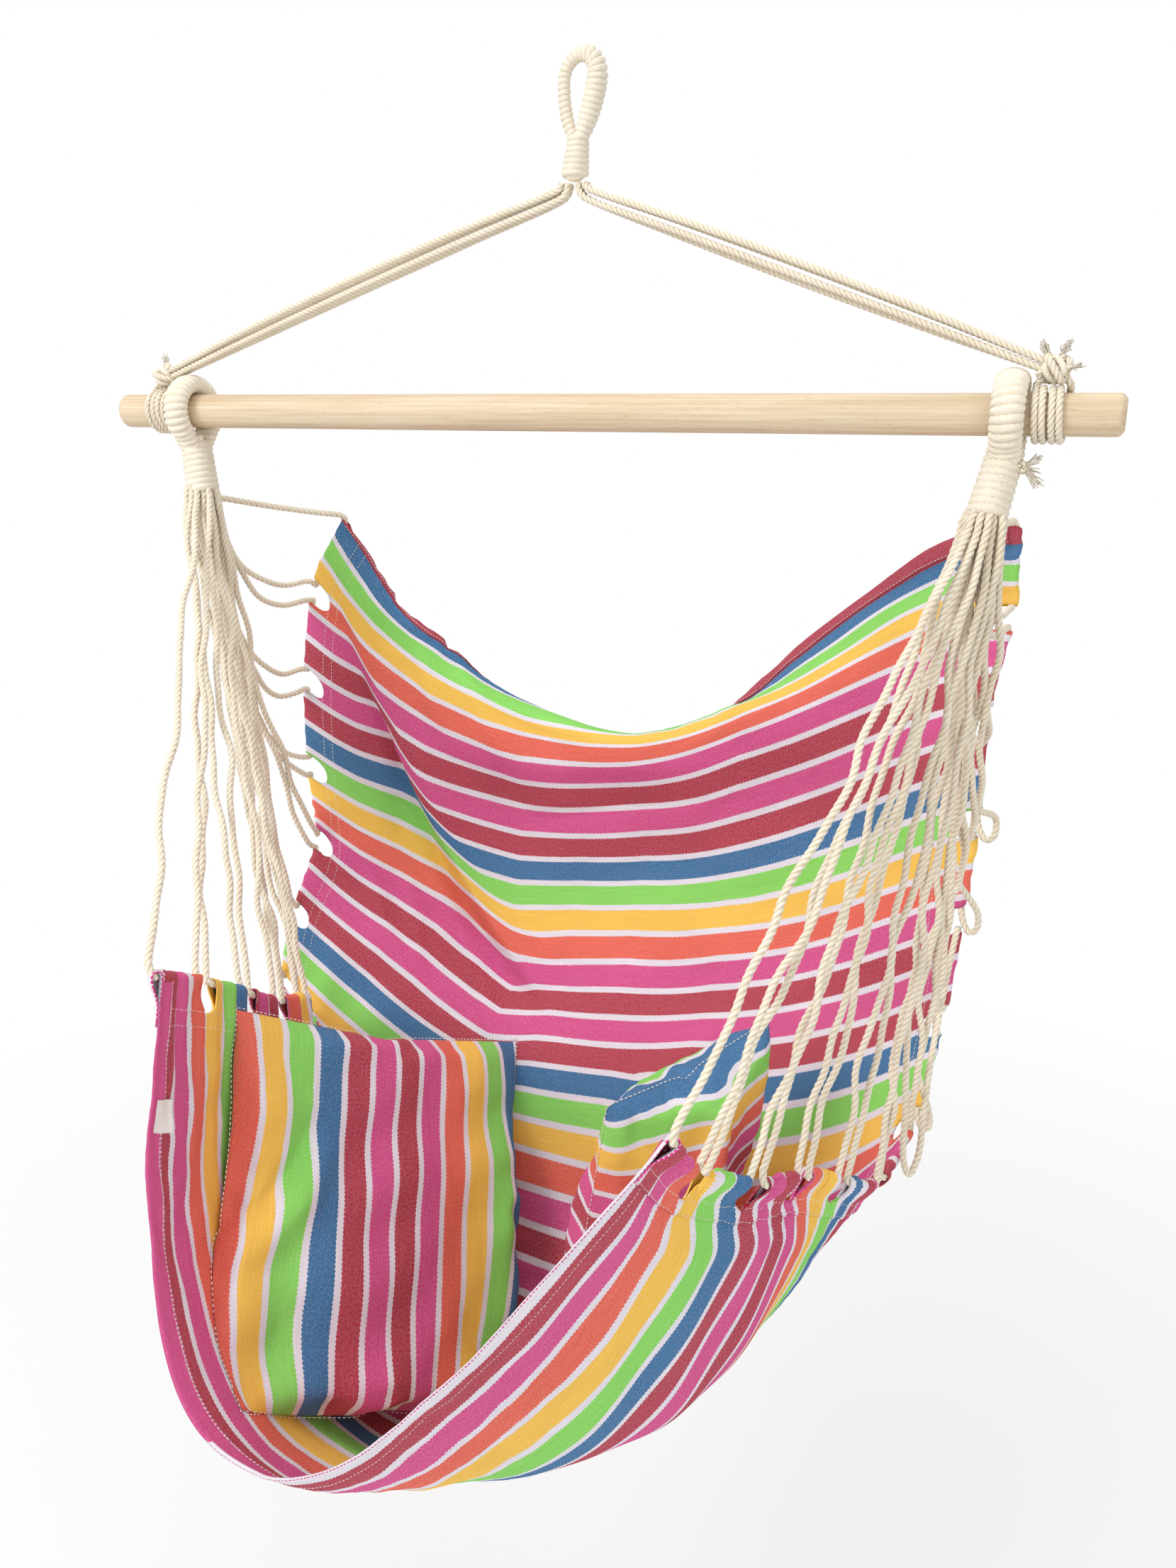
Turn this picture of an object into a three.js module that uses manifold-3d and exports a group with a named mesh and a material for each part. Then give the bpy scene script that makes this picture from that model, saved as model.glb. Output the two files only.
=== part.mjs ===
// A hammock chair: one striped canvas sheet that hangs by cotton rope from a wooden spreader bar,
// with a served eye at the top for the hook and two loose cushions in the seat.
// Frame: the origin is where a hook bears in the eye, X runs along the bar to the sitter's left hand
// as seen from the front right, Y runs to the back of the seat and Z is up. Lengths are millimetres.

import * as THREE from 'three';
import Module from 'manifold-3d';
import { mergeVertices } from 'three/addons/utils/BufferGeometryUtils.js';

const wasm = await Module();
wasm.setup();

// Spreader bar, a turned pole
const barLength = 1000;
const barDiameter = 34;
const barChamfer = 4;
const barDrop = 289;
const barOffset = 33.5;

// Rope diameters
const harnessRope = 6.8;
const suspensionRope = 6.2;
const whippingRope = 4.2;
const servingTwine = 3.6;

// Clearances
const restGap = 0.3;
const turnGap = 0.45;
const ringGap = 0.7;
const cushionGap = 0.8;
const ropeSpacingGap = 0.4;

// Hanging eye
const hookEyeHeight = 46;
const hookEyeRope = 18.4;
const hookNeckStart = 62;
const hookNeckEnd = 94.4;
const hookNeckLean = 7;
const hookNeckCore = 12.8;
const hookNeckFlare = 18.6;

// Side eyes that ride on the bar
const ringAxialWidth = 28;
const ringThickness = 19.5;
const ringFromBarEnd = 88;
const ringSpread = 4.4;
const ringFoot = 10;
const ringFootDrop = 43;
const neckTop = 27;
const neckBottom = 81;
const neckTopCore = 28;
const neckWaistCore = 27.8;
const neckBottomCore = 23;
const leftNeckLeanX = 8;
const leftNeckLeanY = -5;
const rightNeckLeanX = -10;
const rightNeckLeanY = -17;

// Rope made fast at the bar's ends
const knotFromBarEnd = 57;
const knotLength = 25;
const knotDiameter = 21;
const knotRib = 1.1;
const knotTail = 15;
const swingDepth = 8;

// Canvas sheet
const clothWidth = 1000;
const clothThickness = 1.6;
const hemDepth = 28;
const notchWidth = 35;
const stripePitch = 33;
const topHemDepth = 30;
const frontHemDepth = 5;
const channelRadius = 4.8;
const flapReach = 22;

// Cushions
const cushionThickness = 104;
const leftCushionBow = 22;
const rightCushionBow = -4;
const rightCushionThickness = 98;

// Care label
const labelWidth = 31;
const labelLength = 30;
const labelThickness = 0.5;

// Counts
const stripeCount = 38;
const sleeveCount = 12;
const whippingTurns = 8;
const barTurns = 4;
const loopSteps = 12;
const ropeSides = 6;
const windingSides = 5;

const barRadius = barDiameter / 2;
const barHeight = -barDrop;
const barLeft = -barOffset - barLength / 2;
const barRight = -barOffset + barLength / 2;

const colours = {
  rope: 0xe9dfc8,
  wood: 0xdcc19a,
  canvas: 0xd84a8a,
  cushionLeft: 0xe8604a,
  cushionRight: 0x85d45a,
  label: 0xf4f2ee,
};

const ropeFinish = () => new THREE.MeshStandardMaterial({ color: colours.rope, roughness: 0.95, metalness: 0 });
const clothFinish = (color) => new THREE.MeshStandardMaterial({ color, roughness: 0.9, metalness: 0 });
const woodFinish = () => new THREE.MeshStandardMaterial({ color: colours.wood, roughness: 0.6, metalness: 0 });

const chair = new THREE.Group();

function addPiece(name, geometry, material) {
  const mesh = new THREE.Mesh(geometry, material);
  mesh.name = name;
  chair.add(mesh);
  return mesh;
}

// Mesh building

// A closed body from its corner points and triangles, turned so that its faces point out
function closedBody(points, triangles) {
  let volume = 0;
  for (const [a, b, c] of triangles) {
    volume += points[a].dot(new THREE.Vector3().crossVectors(points[b], points[c]));
  }
  const faces = volume < 0 ? triangles.map(([a, b, c]) => [a, c, b]) : triangles;
  const geometry = new THREE.BufferGeometry();
  const flat = points.flatMap((p) => [p.x, p.y, p.z]);
  geometry.setAttribute('position', new THREE.Float32BufferAttribute(flat, 3));
  geometry.setIndex(faces.flat());
  geometry.computeVertexNormals();
  return geometry;
}

// A loft through rings of points, closed with a fan at each end
function loft(rings) {
  const sides = rings[0].length;
  const points = rings.flat();
  const triangles = [];
  for (let i = 0; i + 1 < rings.length; i += 1) {
    for (let j = 0; j < sides; j += 1) {
      const a = i * sides + j;
      const b = i * sides + ((j + 1) % sides);
      triangles.push([a, b, b + sides], [a, b + sides, a + sides]);
    }
  }
  const last = (rings.length - 1) * sides;
  for (let j = 1; j + 1 < sides; j += 1) {
    triangles.push([0, j + 1, j], [last, last + j, last + j + 1]);
  }
  return closedBody(points, triangles);
}

// A path that ropes follow, with one station at each of its points
class RopePath extends THREE.Curve {
  constructor(stations) {
    super();
    this.stations = stations;
  }

  getPoint(share) {
    const place = share * (this.stations.length - 1);
    const index = Math.min(Math.floor(place + 1e-9), this.stations.length - 2);
    return this.stations[index].clone().lerp(this.stations[index + 1], place - index);
  }

  getPointAt(share) {
    return this.getPoint(share);
  }

  getTangentAt(share) {
    const last = this.stations.length - 1;
    const index = Math.round(share * last);
    const before = this.stations[Math.max(index - 1, 0)];
    const after = this.stations[Math.min(index + 1, last)];
    const here = this.stations[index];
    const into = here.clone().sub(before).normalize();
    const out = after.clone().sub(here).normalize();
    return into.add(out).normalize();
  }
}

function ropeGeometry(stations, diameter, sides = ropeSides) {
  const section = new THREE.Shape();
  for (let i = 0; i < sides; i += 1) {
    const angle = (2 * Math.PI * i) / sides;
    const x = (diameter / 2) * Math.cos(angle);
    const y = (diameter / 2) * Math.sin(angle);
    if (i === 0) section.moveTo(x, y);
    else section.lineTo(x, y);
  }
  section.closePath();
  return new THREE.ExtrudeGeometry(section, {
    steps: stations.length - 1,
    extrudePath: new RopePath(stations),
    bevelEnabled: false,
  });
}

function solidOf(geometry) {
  const bare = geometry.clone();
  bare.deleteAttribute('normal');
  bare.deleteAttribute('uv');
  const merged = mergeVertices(bare, 1e-4);
  return new wasm.Manifold(new wasm.Mesh({
    numProp: 3,
    vertProperties: new Float32Array(merged.attributes.position.array),
    triVerts: new Uint32Array(merged.index.array),
  }));
}

function geometryOf(solid) {
  const mesh = solid.getMesh();
  const geometry = new THREE.BufferGeometry();
  geometry.setAttribute('position', new THREE.BufferAttribute(new Float32Array(mesh.vertProperties), 3));
  geometry.setIndex(new THREE.BufferAttribute(new Uint32Array(mesh.triVerts), 1));
  geometry.computeVertexNormals();
  return geometry;
}

const join = (...geometries) => geometryOf(
  geometries.map(solidOf).reduce((whole, next) => whole.add(next)),
);

// Windings

// The least clear distance between turns of one winding, measured on its stations
function leastSelfGap(stations, diameter, stepsPerLoop) {
  let least = Infinity;
  for (let i = 0; i < stations.length; i += 1) {
    for (let j = i + Math.floor(stepsPerLoop / 2); j < stations.length; j += 1) {
      least = Math.min(least, stations[i].distanceTo(stations[j]) - diameter);
    }
  }
  return least;
}

// One unbroken rope wound round a core, whose axis and radius are functions of the share along it.
// Each end runs on straight for one rope diameter.
function windingGeometry(name, { axisAt, radiusAt, along, side, turns, diameter, startAngle = 0 }) {
  const lift = 1 / Math.cos(Math.PI / loopSteps);
  const other = new THREE.Vector3().crossVectors(along, side).normalize();
  const stations = [];
  for (let i = 0; i <= turns * loopSteps; i += 1) {
    const share = i / (turns * loopSteps);
    const angle = startAngle + (2 * Math.PI * i) / loopSteps;
    const radius = (radiusAt(share) + restGap + diameter / 2) * lift;
    stations.push(axisAt(share)
      .addScaledVector(side, radius * Math.cos(angle))
      .addScaledVector(other, radius * Math.sin(angle)));
  }
  const runOn = (end, inner) => end.clone().addScaledVector(end.clone().sub(inner).normalize(), diameter);
  const first = runOn(stations[0], stations[1]);
  const last = runOn(stations.at(-1), stations.at(-2));
  const gap = leastSelfGap(stations, diameter, loopSteps);
  console.log(`${name}: least gap between turns ${gap.toFixed(2)} mm`);
  return ropeGeometry([first, ...stations, last], diameter, windingSides);
}

// Hanging eye

// The rope's middle line round the eye and its thickness, as shares of the eye's height and rope. The
// rope comes up thin on the left, and goes down thick on the right.
const hookEyeShares = [
  [-0.11, -1.43, 0.44],
  [-0.17, -1.27, 0.54],
  [-0.26, -1.06, 0.60],
  [-0.32, -0.82, 0.62],
  [-0.355, -0.5, 0.62],
  [-0.34, -0.2, 0.58],
  [-0.235, 0.02, 0.62],
  [0.0, 0.147, 0.72],
  [0.225, 0.07, 0.86],
  [0.325, -0.13, 0.96],
  [0.31, -0.37, 1.0],
  [0.25, -0.61, 1.0],
  [0.165, -0.86, 0.98],
  [0.07, -1.09, 0.86],
  [-0.02, -1.28, 0.7],
  [-0.075, -1.44, 0.56],
];

const hookNeckAt = (drop) => {
  const share = THREE.MathUtils.mapLinear(drop, hookNeckStart, hookNeckEnd, 0.45, 1);
  return new THREE.Vector3(-hookNeckLean * share, 0, -drop);
};

// The neck widens downwards, to where the suspension ropes come out
const hookCoreAt = (drop) => (
  THREE.MathUtils.mapLinear(drop, hookNeckStart, hookNeckEnd, hookNeckCore, hookNeckFlare) / 2
);

function hangingEyeCore() {
  const sides = 10;
  const crown = hookEyeShares.findIndex(([x]) => x === 0);
  const depth = new THREE.Vector3(0, 1, 0);
  const spine = hookEyeShares.map(([x, z]) => new THREE.Vector3(x, 0, z).multiplyScalar(hookEyeHeight));
  const leg = (from, to) => {
    const rings = [];
    for (let i = from; i <= to; i += 1) {
      const ahead = spine[Math.min(i + 1, spine.length - 1)].clone().sub(spine[Math.max(i - 1, 0)]).normalize();
      const inward = depth.clone().cross(ahead);
      const radius = (hookEyeShares[i][2] * hookEyeRope) / 2;
      const ring = [];
      for (let j = 0; j < sides; j += 1) {
        const turn = (2 * Math.PI * j) / sides;
        ring.push(spine[i].clone()
          .addScaledVector(inward, radius * Math.cos(turn))
          .addScaledVector(depth, radius * Math.sin(turn)));
      }
      rings.push(ring);
    }
    return loft(rings);
  };
  const neckRings = [hookNeckStart, hookNeckEnd].map((drop) => {
    const ring = [];
    for (let j = 0; j < 16; j += 1) {
      const turn = (2 * Math.PI * j) / 16;
      const radius = hookCoreAt(drop);
      ring.push(hookNeckAt(drop).add(new THREE.Vector3(radius * Math.cos(turn), radius * Math.sin(turn), 0)));
    }
    return ring;
  });
  return join(leg(0, crown), leg(crown - 1, spine.length - 1), loft(neckRings));
}

const whippingPitch = whippingRope + turnGap;

function hangingEyeWhipping() {
  const turns = whippingTurns - 2;
  const low = hookNeckEnd - servingTwine / 2 - restGap;
  const high = low - turns * (servingTwine + turnGap);
  return windingGeometry('hanging eye whipping', {
    axisAt: (share) => hookNeckAt(THREE.MathUtils.lerp(high, low, share)),
    radiusAt: (share) => hookCoreAt(THREE.MathUtils.lerp(high, low, share)),
    along: new THREE.Vector3(0, 0, -1),
    side: new THREE.Vector3(1, 0, 0),
    turns,
    diameter: servingTwine,
  });
}

addPiece('hanging_eye', hangingEyeCore(), ropeFinish());
addPiece('hanging_eye_whipping', hangingEyeWhipping(), ropeFinish());

// Spreader bar

function barGeometry() {
  const profile = [
    new THREE.Vector2(0, 0),
    new THREE.Vector2(barRadius - barChamfer, 0),
    new THREE.Vector2(barRadius, barChamfer),
    new THREE.Vector2(barRadius, barLength - barChamfer),
    new THREE.Vector2(barRadius - barChamfer, barLength),
    new THREE.Vector2(0, barLength),
  ];
  const bar = new THREE.LatheGeometry(profile, 32);
  bar.rotateZ(-Math.PI / 2);
  bar.translate(barLeft, 0, barHeight);
  return bar;
}

addPiece('spreader_bar', barGeometry(), woodFinish());

// Rope wraps, knots and suspension ropes

const wrapPitch = suspensionRope + turnGap;
const wrapOuter = (barRadius + restGap + suspensionRope / 2) / Math.cos(Math.PI / loopSteps) + suspensionRope / 2;

function barWraps(name, middle, turns) {
  const length = turns * wrapPitch;
  return windingGeometry(name, {
    axisAt: (share) => new THREE.Vector3(middle - length / 2 + share * length, 0, barHeight),
    radiusAt: () => barRadius,
    along: new THREE.Vector3(1, 0, 0),
    side: new THREE.Vector3(0, -1, 0),
    turns,
    diameter: suspensionRope,
  });
}

// The knot is a collar of rope turns on the suspension ropes, with a cut tail that stands up from it
function knotPlace(side) {
  const x = side < 0 ? barLeft + knotFromBarEnd : barRight - knotFromBarEnd;
  const z = barHeight + wrapOuter + restGap + knotDiameter / 2;
  const centre = new THREE.Vector3(x, 0, z);
  const along = centre.clone().sub(hookNeckAt(hookNeckEnd)).normalize();
  return { centre, along };
}

function knotGeometry(side) {
  const { centre, along } = knotPlace(side);
  const ribs = 3;
  const steps = 12;
  const mouthShare = 0.36;
  const endShare = 0.5;
  const profile = [new THREE.Vector2(0, -mouthShare * knotLength)];
  for (let i = 0; i <= steps; i += 1) {
    const place = THREE.MathUtils.lerp(-mouthShare, endShare, i / steps);
    const swell = Math.sqrt(Math.max(0, 1 - (place / (endShare + 0.06)) ** 2));
    const rib = knotRib * Math.abs(Math.sin((Math.PI * ribs * i) / steps));
    profile.push(new THREE.Vector2((knotDiameter / 2 - knotRib) * swell + rib * swell, place * knotLength));
  }
  profile.push(new THREE.Vector2(0, endShare * knotLength));
  const collar = new THREE.LatheGeometry(profile, 14);
  const turn = new THREE.Quaternion().setFromUnitVectors(new THREE.Vector3(0, 1, 0), along);
  collar.applyQuaternion(turn);
  const tailBase = new THREE.Vector3();
  const tailTip = new THREE.Vector3(-0.35 * side, 0.25, 1).setLength(knotDiameter / 2 + knotTail);
  const tailMiddle = tailBase.clone().lerp(tailTip, 0.6).add(new THREE.Vector3(0, -knotRib, knotRib));
  const tail = ropeGeometry([tailBase, tailMiddle, tailTip], suspensionRope, ropeSides);
  const knot = join(collar, tail);
  knot.translate(centre.x, centre.y, centre.z);
  return knot;
}

// How far each rope sags below a straight line, in rope diameters: upper pair, then lower pair
const sagShares = { left: [[-0.9, -0.7], [-0.4, -0.1]], right: [[-0.8, -0.5], [0.1, 0.8]] };

// Every suspension rope leaves the neck downwards, turns outwards and runs with a little sag to its knot
function suspensionStations(side, row, column) {
  const { centre, along } = knotPlace(side);
  const half = (suspensionRope + ropeSpacingGap) / 2;
  const upper = row === 0;
  const y = column === 0 ? -half : half;
  const exit = side * (upper ? 3.5 : 1.5) * half - hookNeckLean;
  const start = new THREE.Vector3(exit, y, -hookNeckEnd - restGap);
  const normal = new THREE.Vector3(-along.z * side, 0, along.x * side);
  const lift = upper ? half : -half;
  const mouth = centre.clone()
    .addScaledVector(along, -0.36 * knotLength - restGap)
    .addScaledVector(normal, lift);
  mouth.y = y;
  const bend = (upper ? 0.7 : 1.7) * suspensionRope;
  const corner = new THREE.Vector3(exit, y, start.z - bend);
  const run = mouth.clone().sub(corner);
  const sag = sagShares[side < 0 ? 'left' : 'right'][row][column] * suspensionRope;
  const spread = (column === 0 ? -1 : 1) * 0.3 * suspensionRope;
  const stations = [start];
  const first = corner.clone().addScaledVector(run.clone().normalize(), bend);
  for (const share of [0.3, 0.6]) {
    const a = start.clone().lerp(corner, share);
    const b = corner.clone().lerp(first, share);
    stations.push(a.lerp(b, share));
  }
  stations.push(first);
  for (const share of [0.2, 0.4, 0.6, 0.8]) {
    const here = first.clone().lerp(mouth, share);
    const wave = 4 * share * (1 - share);
    stations.push(here.add(new THREE.Vector3(0, spread * wave, -sag * wave)));
  }
  stations.push(mouth.clone().addScaledVector(along, -suspensionRope), mouth);
  return stations;
}

// The tops are rounded about the swing's axis, so that they roll under the neck without touching it
function domedTop(geometry) {
  const radius = swingDepth - restGap;
  const reach = hookNeckFlare + suspensionRope;
  const axisHeight = -hookNeckEnd - swingDepth;
  const drum = new THREE.CylinderGeometry(radius, radius, 4 * reach, 36);
  drum.rotateZ(Math.PI / 2);
  drum.translate(0, 0, axisHeight);
  const block = new THREE.BoxGeometry(4 * reach, 4 * reach, reach);
  block.translate(0, 0, axisHeight + reach / 2);
  const cap = solidOf(block).subtract(solidOf(drum));
  return geometryOf(solidOf(geometry).subtract(cap));
}

for (const [sideName, side] of [['left', -1], ['right', 1]]) {
  const x = side < 0 ? barLeft + knotFromBarEnd : barRight - knotFromBarEnd;
  addPiece(`${sideName}_bar_wraps`, barWraps(`${sideName} bar wraps`, x, barTurns), ropeFinish());
  addPiece(`${sideName}_bar_knot`, knotGeometry(side), ropeFinish());
  let number = 0;
  for (const row of [0, 1]) {
    for (const column of [0, 1]) {
      number += 1;
      const rope = domedTop(ropeGeometry(suspensionStations(side, row, column), suspensionRope));
      addPiece(`${sideName}_suspension_rope_${number}`, rope, ropeFinish());
    }
  }
}

// Side eyes

const eyePlace = {
  left: { x: barLeft + ringFromBarEnd, leanX: leftNeckLeanX, leanY: leftNeckLeanY },
  right: { x: barRight - ringFromBarEnd, leanX: rightNeckLeanX, leanY: rightNeckLeanY },
};

const neckAxisAt = ({ x, leanX, leanY }, drop) => {
  const share = Math.max(0, drop - neckTop) / (neckBottom - neckTop);
  return new THREE.Vector3(x + leanX * share, leanY * share, barHeight - drop);
};

const neckCoreAt = (drop) => {
  const waist = ringFootDrop;
  if (drop < waist) {
    return THREE.MathUtils.mapLinear(drop, neckTop, waist, neckTopCore, neckWaistCore) / 2;
  }
  return THREE.MathUtils.mapLinear(drop, waist, neckBottom, neckWaistCore, neckBottomCore) / 2;
};

// One half of the loop over the bar, from just past its top down into the neck
function halfLoop(place, sign) {
  const centreLine = barRadius + ringGap + ringThickness / 2;
  const openAngle = THREE.MathUtils.degToRad(46);
  const arcSteps = 9;
  const sides = 12;
  const rings = [];
  const pushRing = (y, z, inwardY, inwardZ, thickness) => {
    const ring = [];
    for (let j = 0; j < sides; j += 1) {
      const turn = (2 * Math.PI * j) / sides;
      const radial = (thickness / 2) * Math.cos(turn);
      ring.push(new THREE.Vector3(
        place.x + (ringAxialWidth / 2) * Math.sin(turn),
        sign * (y + inwardY * radial),
        barHeight + z + inwardZ * radial,
      ));
    }
    rings.push(ring);
  };
  const arc = Math.PI / 2 + openAngle;
  for (let i = -1; i <= arcSteps; i += 1) {
    const angle = Math.PI / 2 - (i / arcSteps) * arc;
    const inwardY = -Math.cos(angle);
    pushRing(centreLine * Math.cos(angle), centreLine * Math.sin(angle), inwardY, -Math.sin(angle), ringThickness);
  }
  const legY = ringSpread;
  const legZ = -ringFootDrop;
  const slope = new THREE.Vector2(centreLine * Math.cos(openAngle) - legY, -centreLine * Math.sin(openAngle) - legZ);
  const across = new THREE.Vector2(-slope.y, slope.x).normalize();
  pushRing(legY, legZ, across.x, across.y, ringFoot);
  return loft(rings);
}

function sideEyeCore(place) {
  const neckRings = [];
  const crotchShare = 0.4;
  const shoulder = neckTop + ringFoot / 4;
  for (const [drop, fullness] of [[neckTop, crotchShare], [shoulder, 1], [ringFootDrop, 1], [neckBottom, 1]]) {
    const axis = neckAxisAt(place, drop);
    const radius = neckCoreAt(drop);
    const ring = [];
    for (let j = 0; j < 16; j += 1) {
      const turn = (2 * Math.PI * j) / 16;
      const offset = new THREE.Vector3(radius * Math.cos(turn), radius * Math.sin(turn) * fullness, 0);
      ring.push(axis.clone().add(offset));
    }
    neckRings.push(ring);
  }
  return join(halfLoop(place, -1), halfLoop(place, 1), loft(neckRings));
}

function sideEyeWhipping(name, place) {
  const turns = whippingTurns - 1;
  const low = neckBottom - whippingRope / 2 - restGap;
  const high = low - turns * whippingPitch;
  return windingGeometry(name, {
    axisAt: (share) => neckAxisAt(place, THREE.MathUtils.lerp(high, low, share)),
    radiusAt: (share) => neckCoreAt(THREE.MathUtils.lerp(high, low, share)),
    along: new THREE.Vector3(0, 0, -1),
    side: new THREE.Vector3(1, 0, 0),
    turns,
    diameter: whippingRope,
  });
}

for (const sideName of ['left', 'right']) {
  const place = eyePlace[sideName];
  addPiece(`${sideName}_side_eye`, sideEyeCore(place), ropeFinish());
  addPiece(`${sideName}_eye_whipping`, sideEyeWhipping(`${sideName} eye whipping`, place), ropeFinish());
}

// Canvas sheet

// Each row gives a stripe number from the top edge and then X, Y and Z as shares of the cloth's width,
// measured from the middle of the bar's axis.
const firstStripe = -topHemDepth / stripePitch;
const lastStripe = stripeCount + frontHemDepth / stripePitch;
const sleeveStripes = stripeCount / sleeveCount;

const leftEdgeShares = [
  [-0.9, -0.323, 0.140, -0.123],
  [3.17, -0.373, 0.140, -0.207],
  [6.33, -0.385, 0.130, -0.313],
  [9.5, -0.381, 0.120, -0.418],
  [12.67, -0.362, 0.100, -0.503],
  [15.83, -0.368, 0.052, -0.580],
  [19, -0.355, 0.005, -0.650],
  [22.17, -0.307, -0.025, -0.666],
  [25.33, -0.259, -0.075, -0.616],
  [28.5, -0.252, -0.135, -0.592],
  [31.67, -0.238, -0.205, -0.548],
  [34.83, -0.215, -0.290, -0.495],
  [38.15, -0.196, -0.370, -0.450],
];

const rightEdgeShares = [
  [-0.9, 0.408, 0.145, -0.102],
  [3.17, 0.414, 0.145, -0.187],
  [6.33, 0.402, 0.130, -0.288],
  [9.5, 0.402, 0.120, -0.391],
  [12.67, 0.398, 0.110, -0.490],
  [15.83, 0.390, 0.080, -0.588],
  [19, 0.378, 0.020, -0.672],
  [22.17, 0.355, -0.045, -0.702],
  [25.33, 0.331, -0.105, -0.668],
  [28.5, 0.305, -0.160, -0.638],
  [31.67, 0.280, -0.222, -0.612],
  [34.83, 0.256, -0.295, -0.565],
  [38.15, 0.256, -0.370, -0.492],
];

const middleShares = [
  [-0.9, -0.007, 0.250, -0.397],
  [3, 0.009, 0.190, -0.363],
  [8.5, 0.010, 0.190, -0.521],
  [12.5, 0.023, 0.115, -0.616],
  [16.5, 0.036, 0.030, -0.711],
  [21.5, 0.043, -0.075, -0.866],
  [26, 0.045, -0.165, -0.970],
  [30, 0.005, -0.265, -0.970],
  [34, -0.038, -0.365, -0.920],
  [38.15, -0.070, -0.450, -0.858],
];

// Stripe number, fullness of the left half, of the right half and of the right half's depth, how far
// the flanks stand up straight, and how level the right half starts from its edge
const sectionShares = [
  [-0.9, 2.0, 1.6, 3.4, 0.0, 1.85],
  [8.5, 2.2, 2.0, 3.0, 0.0, 1.3],
  [16.5, 2.4, 2.1, 2.3, 0.1, 1.0],
  [26, 2.6, 2.35, 2.1, 0.25, 1.0],
  [38.15, 2.3, 1.6, 1.6, 0.1, 1.0],
];

// A smooth run through a table's rows, at one stripe number
function alongTable(table, stripe) {
  const last = table.length - 1;
  let i = 0;
  while (i < last - 1 && stripe >= table[i + 1][0]) i += 1;
  const slopeAt = (k) => {
    const before = table[Math.max(k - 1, 0)];
    const here = table[k];
    const after = table[Math.min(k + 1, last)];
    return here.slice(1).map((value, axis) => {
      if (k === 0) return (after[axis + 1] - value) / (after[0] - here[0]);
      if (k === last) return (value - before[axis + 1]) / (here[0] - before[0]);
      const into = (value - before[axis + 1]) / (here[0] - before[0]);
      const out = (after[axis + 1] - value) / (after[0] - here[0]);
      const weight = (after[0] - here[0]) / (after[0] - before[0]);
      return into * weight + out * (1 - weight);
    });
  };
  const step = table[i + 1][0] - table[i][0];
  const s = (stripe - table[i][0]) / step;
  const m0 = slopeAt(i);
  const m1 = slopeAt(i + 1);
  return table[i].slice(1).map((value, axis) => (
    (2 * s ** 3 - 3 * s ** 2 + 1) * value
    + (s ** 3 - 2 * s ** 2 + s) * step * m0[axis]
    + (3 * s ** 2 - 2 * s ** 3) * table[i + 1][axis + 1]
    + (s ** 3 - s ** 2) * step * m1[axis]
  ));
}

const fromShares = ([x, y, z]) => new THREE.Vector3(x, y, z)
  .multiplyScalar(clothWidth)
  .add(new THREE.Vector3(-barOffset, 0, barHeight));

// One stripe's line across the seat, sampled evenly along its length
const rowSamples = 72;
const rowCache = new Map();

function rowAt(stripe) {
  const key = stripe.toFixed(5);
  if (rowCache.has(key)) return rowCache.get(key);
  const left = fromShares(alongTable(leftEdgeShares, stripe));
  const right = fromShares(alongTable(rightEdgeShares, stripe));
  const middle = fromShares(alongTable(middleShares, stripe));
  const [fullLeft, fullRight, deepRight, upright, level] = alongTable(sectionShares, stripe);
  const hang = middle.clone().sub(left.clone().add(right).multiplyScalar(0.5));
  const line = [];
  for (let i = 0; i <= rowSamples; i += 1) {
    const w = i / rowSamples;
    const across = w - (upright * Math.sin(2 * Math.PI * w)) / (2 * Math.PI);
    const from = Math.abs(2 * w - 1);
    const low = w < 0.5 ? 1 - from ** fullLeft : (1 - from ** fullRight) ** level;
    const deep = 1 - from ** (w < 0.5 ? fullLeft : deepRight);
    line.push(left.clone().lerp(right, across).add(new THREE.Vector3(hang.x * low, hang.y * deep, hang.z * low)));
  }
  const lengths = [0];
  for (let i = 1; i <= rowSamples; i += 1) lengths.push(lengths[i - 1] + line[i].distanceTo(line[i - 1]));
  const row = { line, lengths };
  rowCache.set(key, row);
  return row;
}

function clothPoint(across, stripe) {
  const { line, lengths } = rowAt(stripe);
  const wanted = across * lengths[rowSamples];
  let i = 0;
  while (i < rowSamples - 1 && lengths[i + 1] < wanted) i += 1;
  return line[i].clone().lerp(line[i + 1], (wanted - lengths[i]) / (lengths[i + 1] - lengths[i]));
}

// The cloth's outward direction, away from the sitter
function clothNormal(across, stripe) {
  const a = Math.min(Math.max(across, 0.01), 0.99);
  const t = Math.min(Math.max(stripe, firstStripe + 0.1), lastStripe - 0.1);
  const wide = clothPoint(a + 0.01, t).sub(clothPoint(a - 0.01, t));
  const down = clothPoint(a, t + 0.1).sub(clothPoint(a, t - 0.1));
  return wide.cross(down).normalize();
}

const hemShare = hemDepth / clothWidth;
const halfNotch = notchWidth / stripePitch / 2;

// Sleeve ends, as stripe numbers from the top
const sleeveEnds = [];
for (let k = 0; k < sleeveCount; k += 1) {
  const start = k === 0 ? firstStripe : k * sleeveStripes + halfNotch;
  const end = k === sleeveCount - 1 ? lastStripe : (k + 1) * sleeveStripes - halfNotch;
  sleeveEnds.push([start, end]);
}

// Both ends of a sleeve share one inward and one outward direction, square to it, so the rope lies
// straight in it
const frameCache = new Map();

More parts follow.
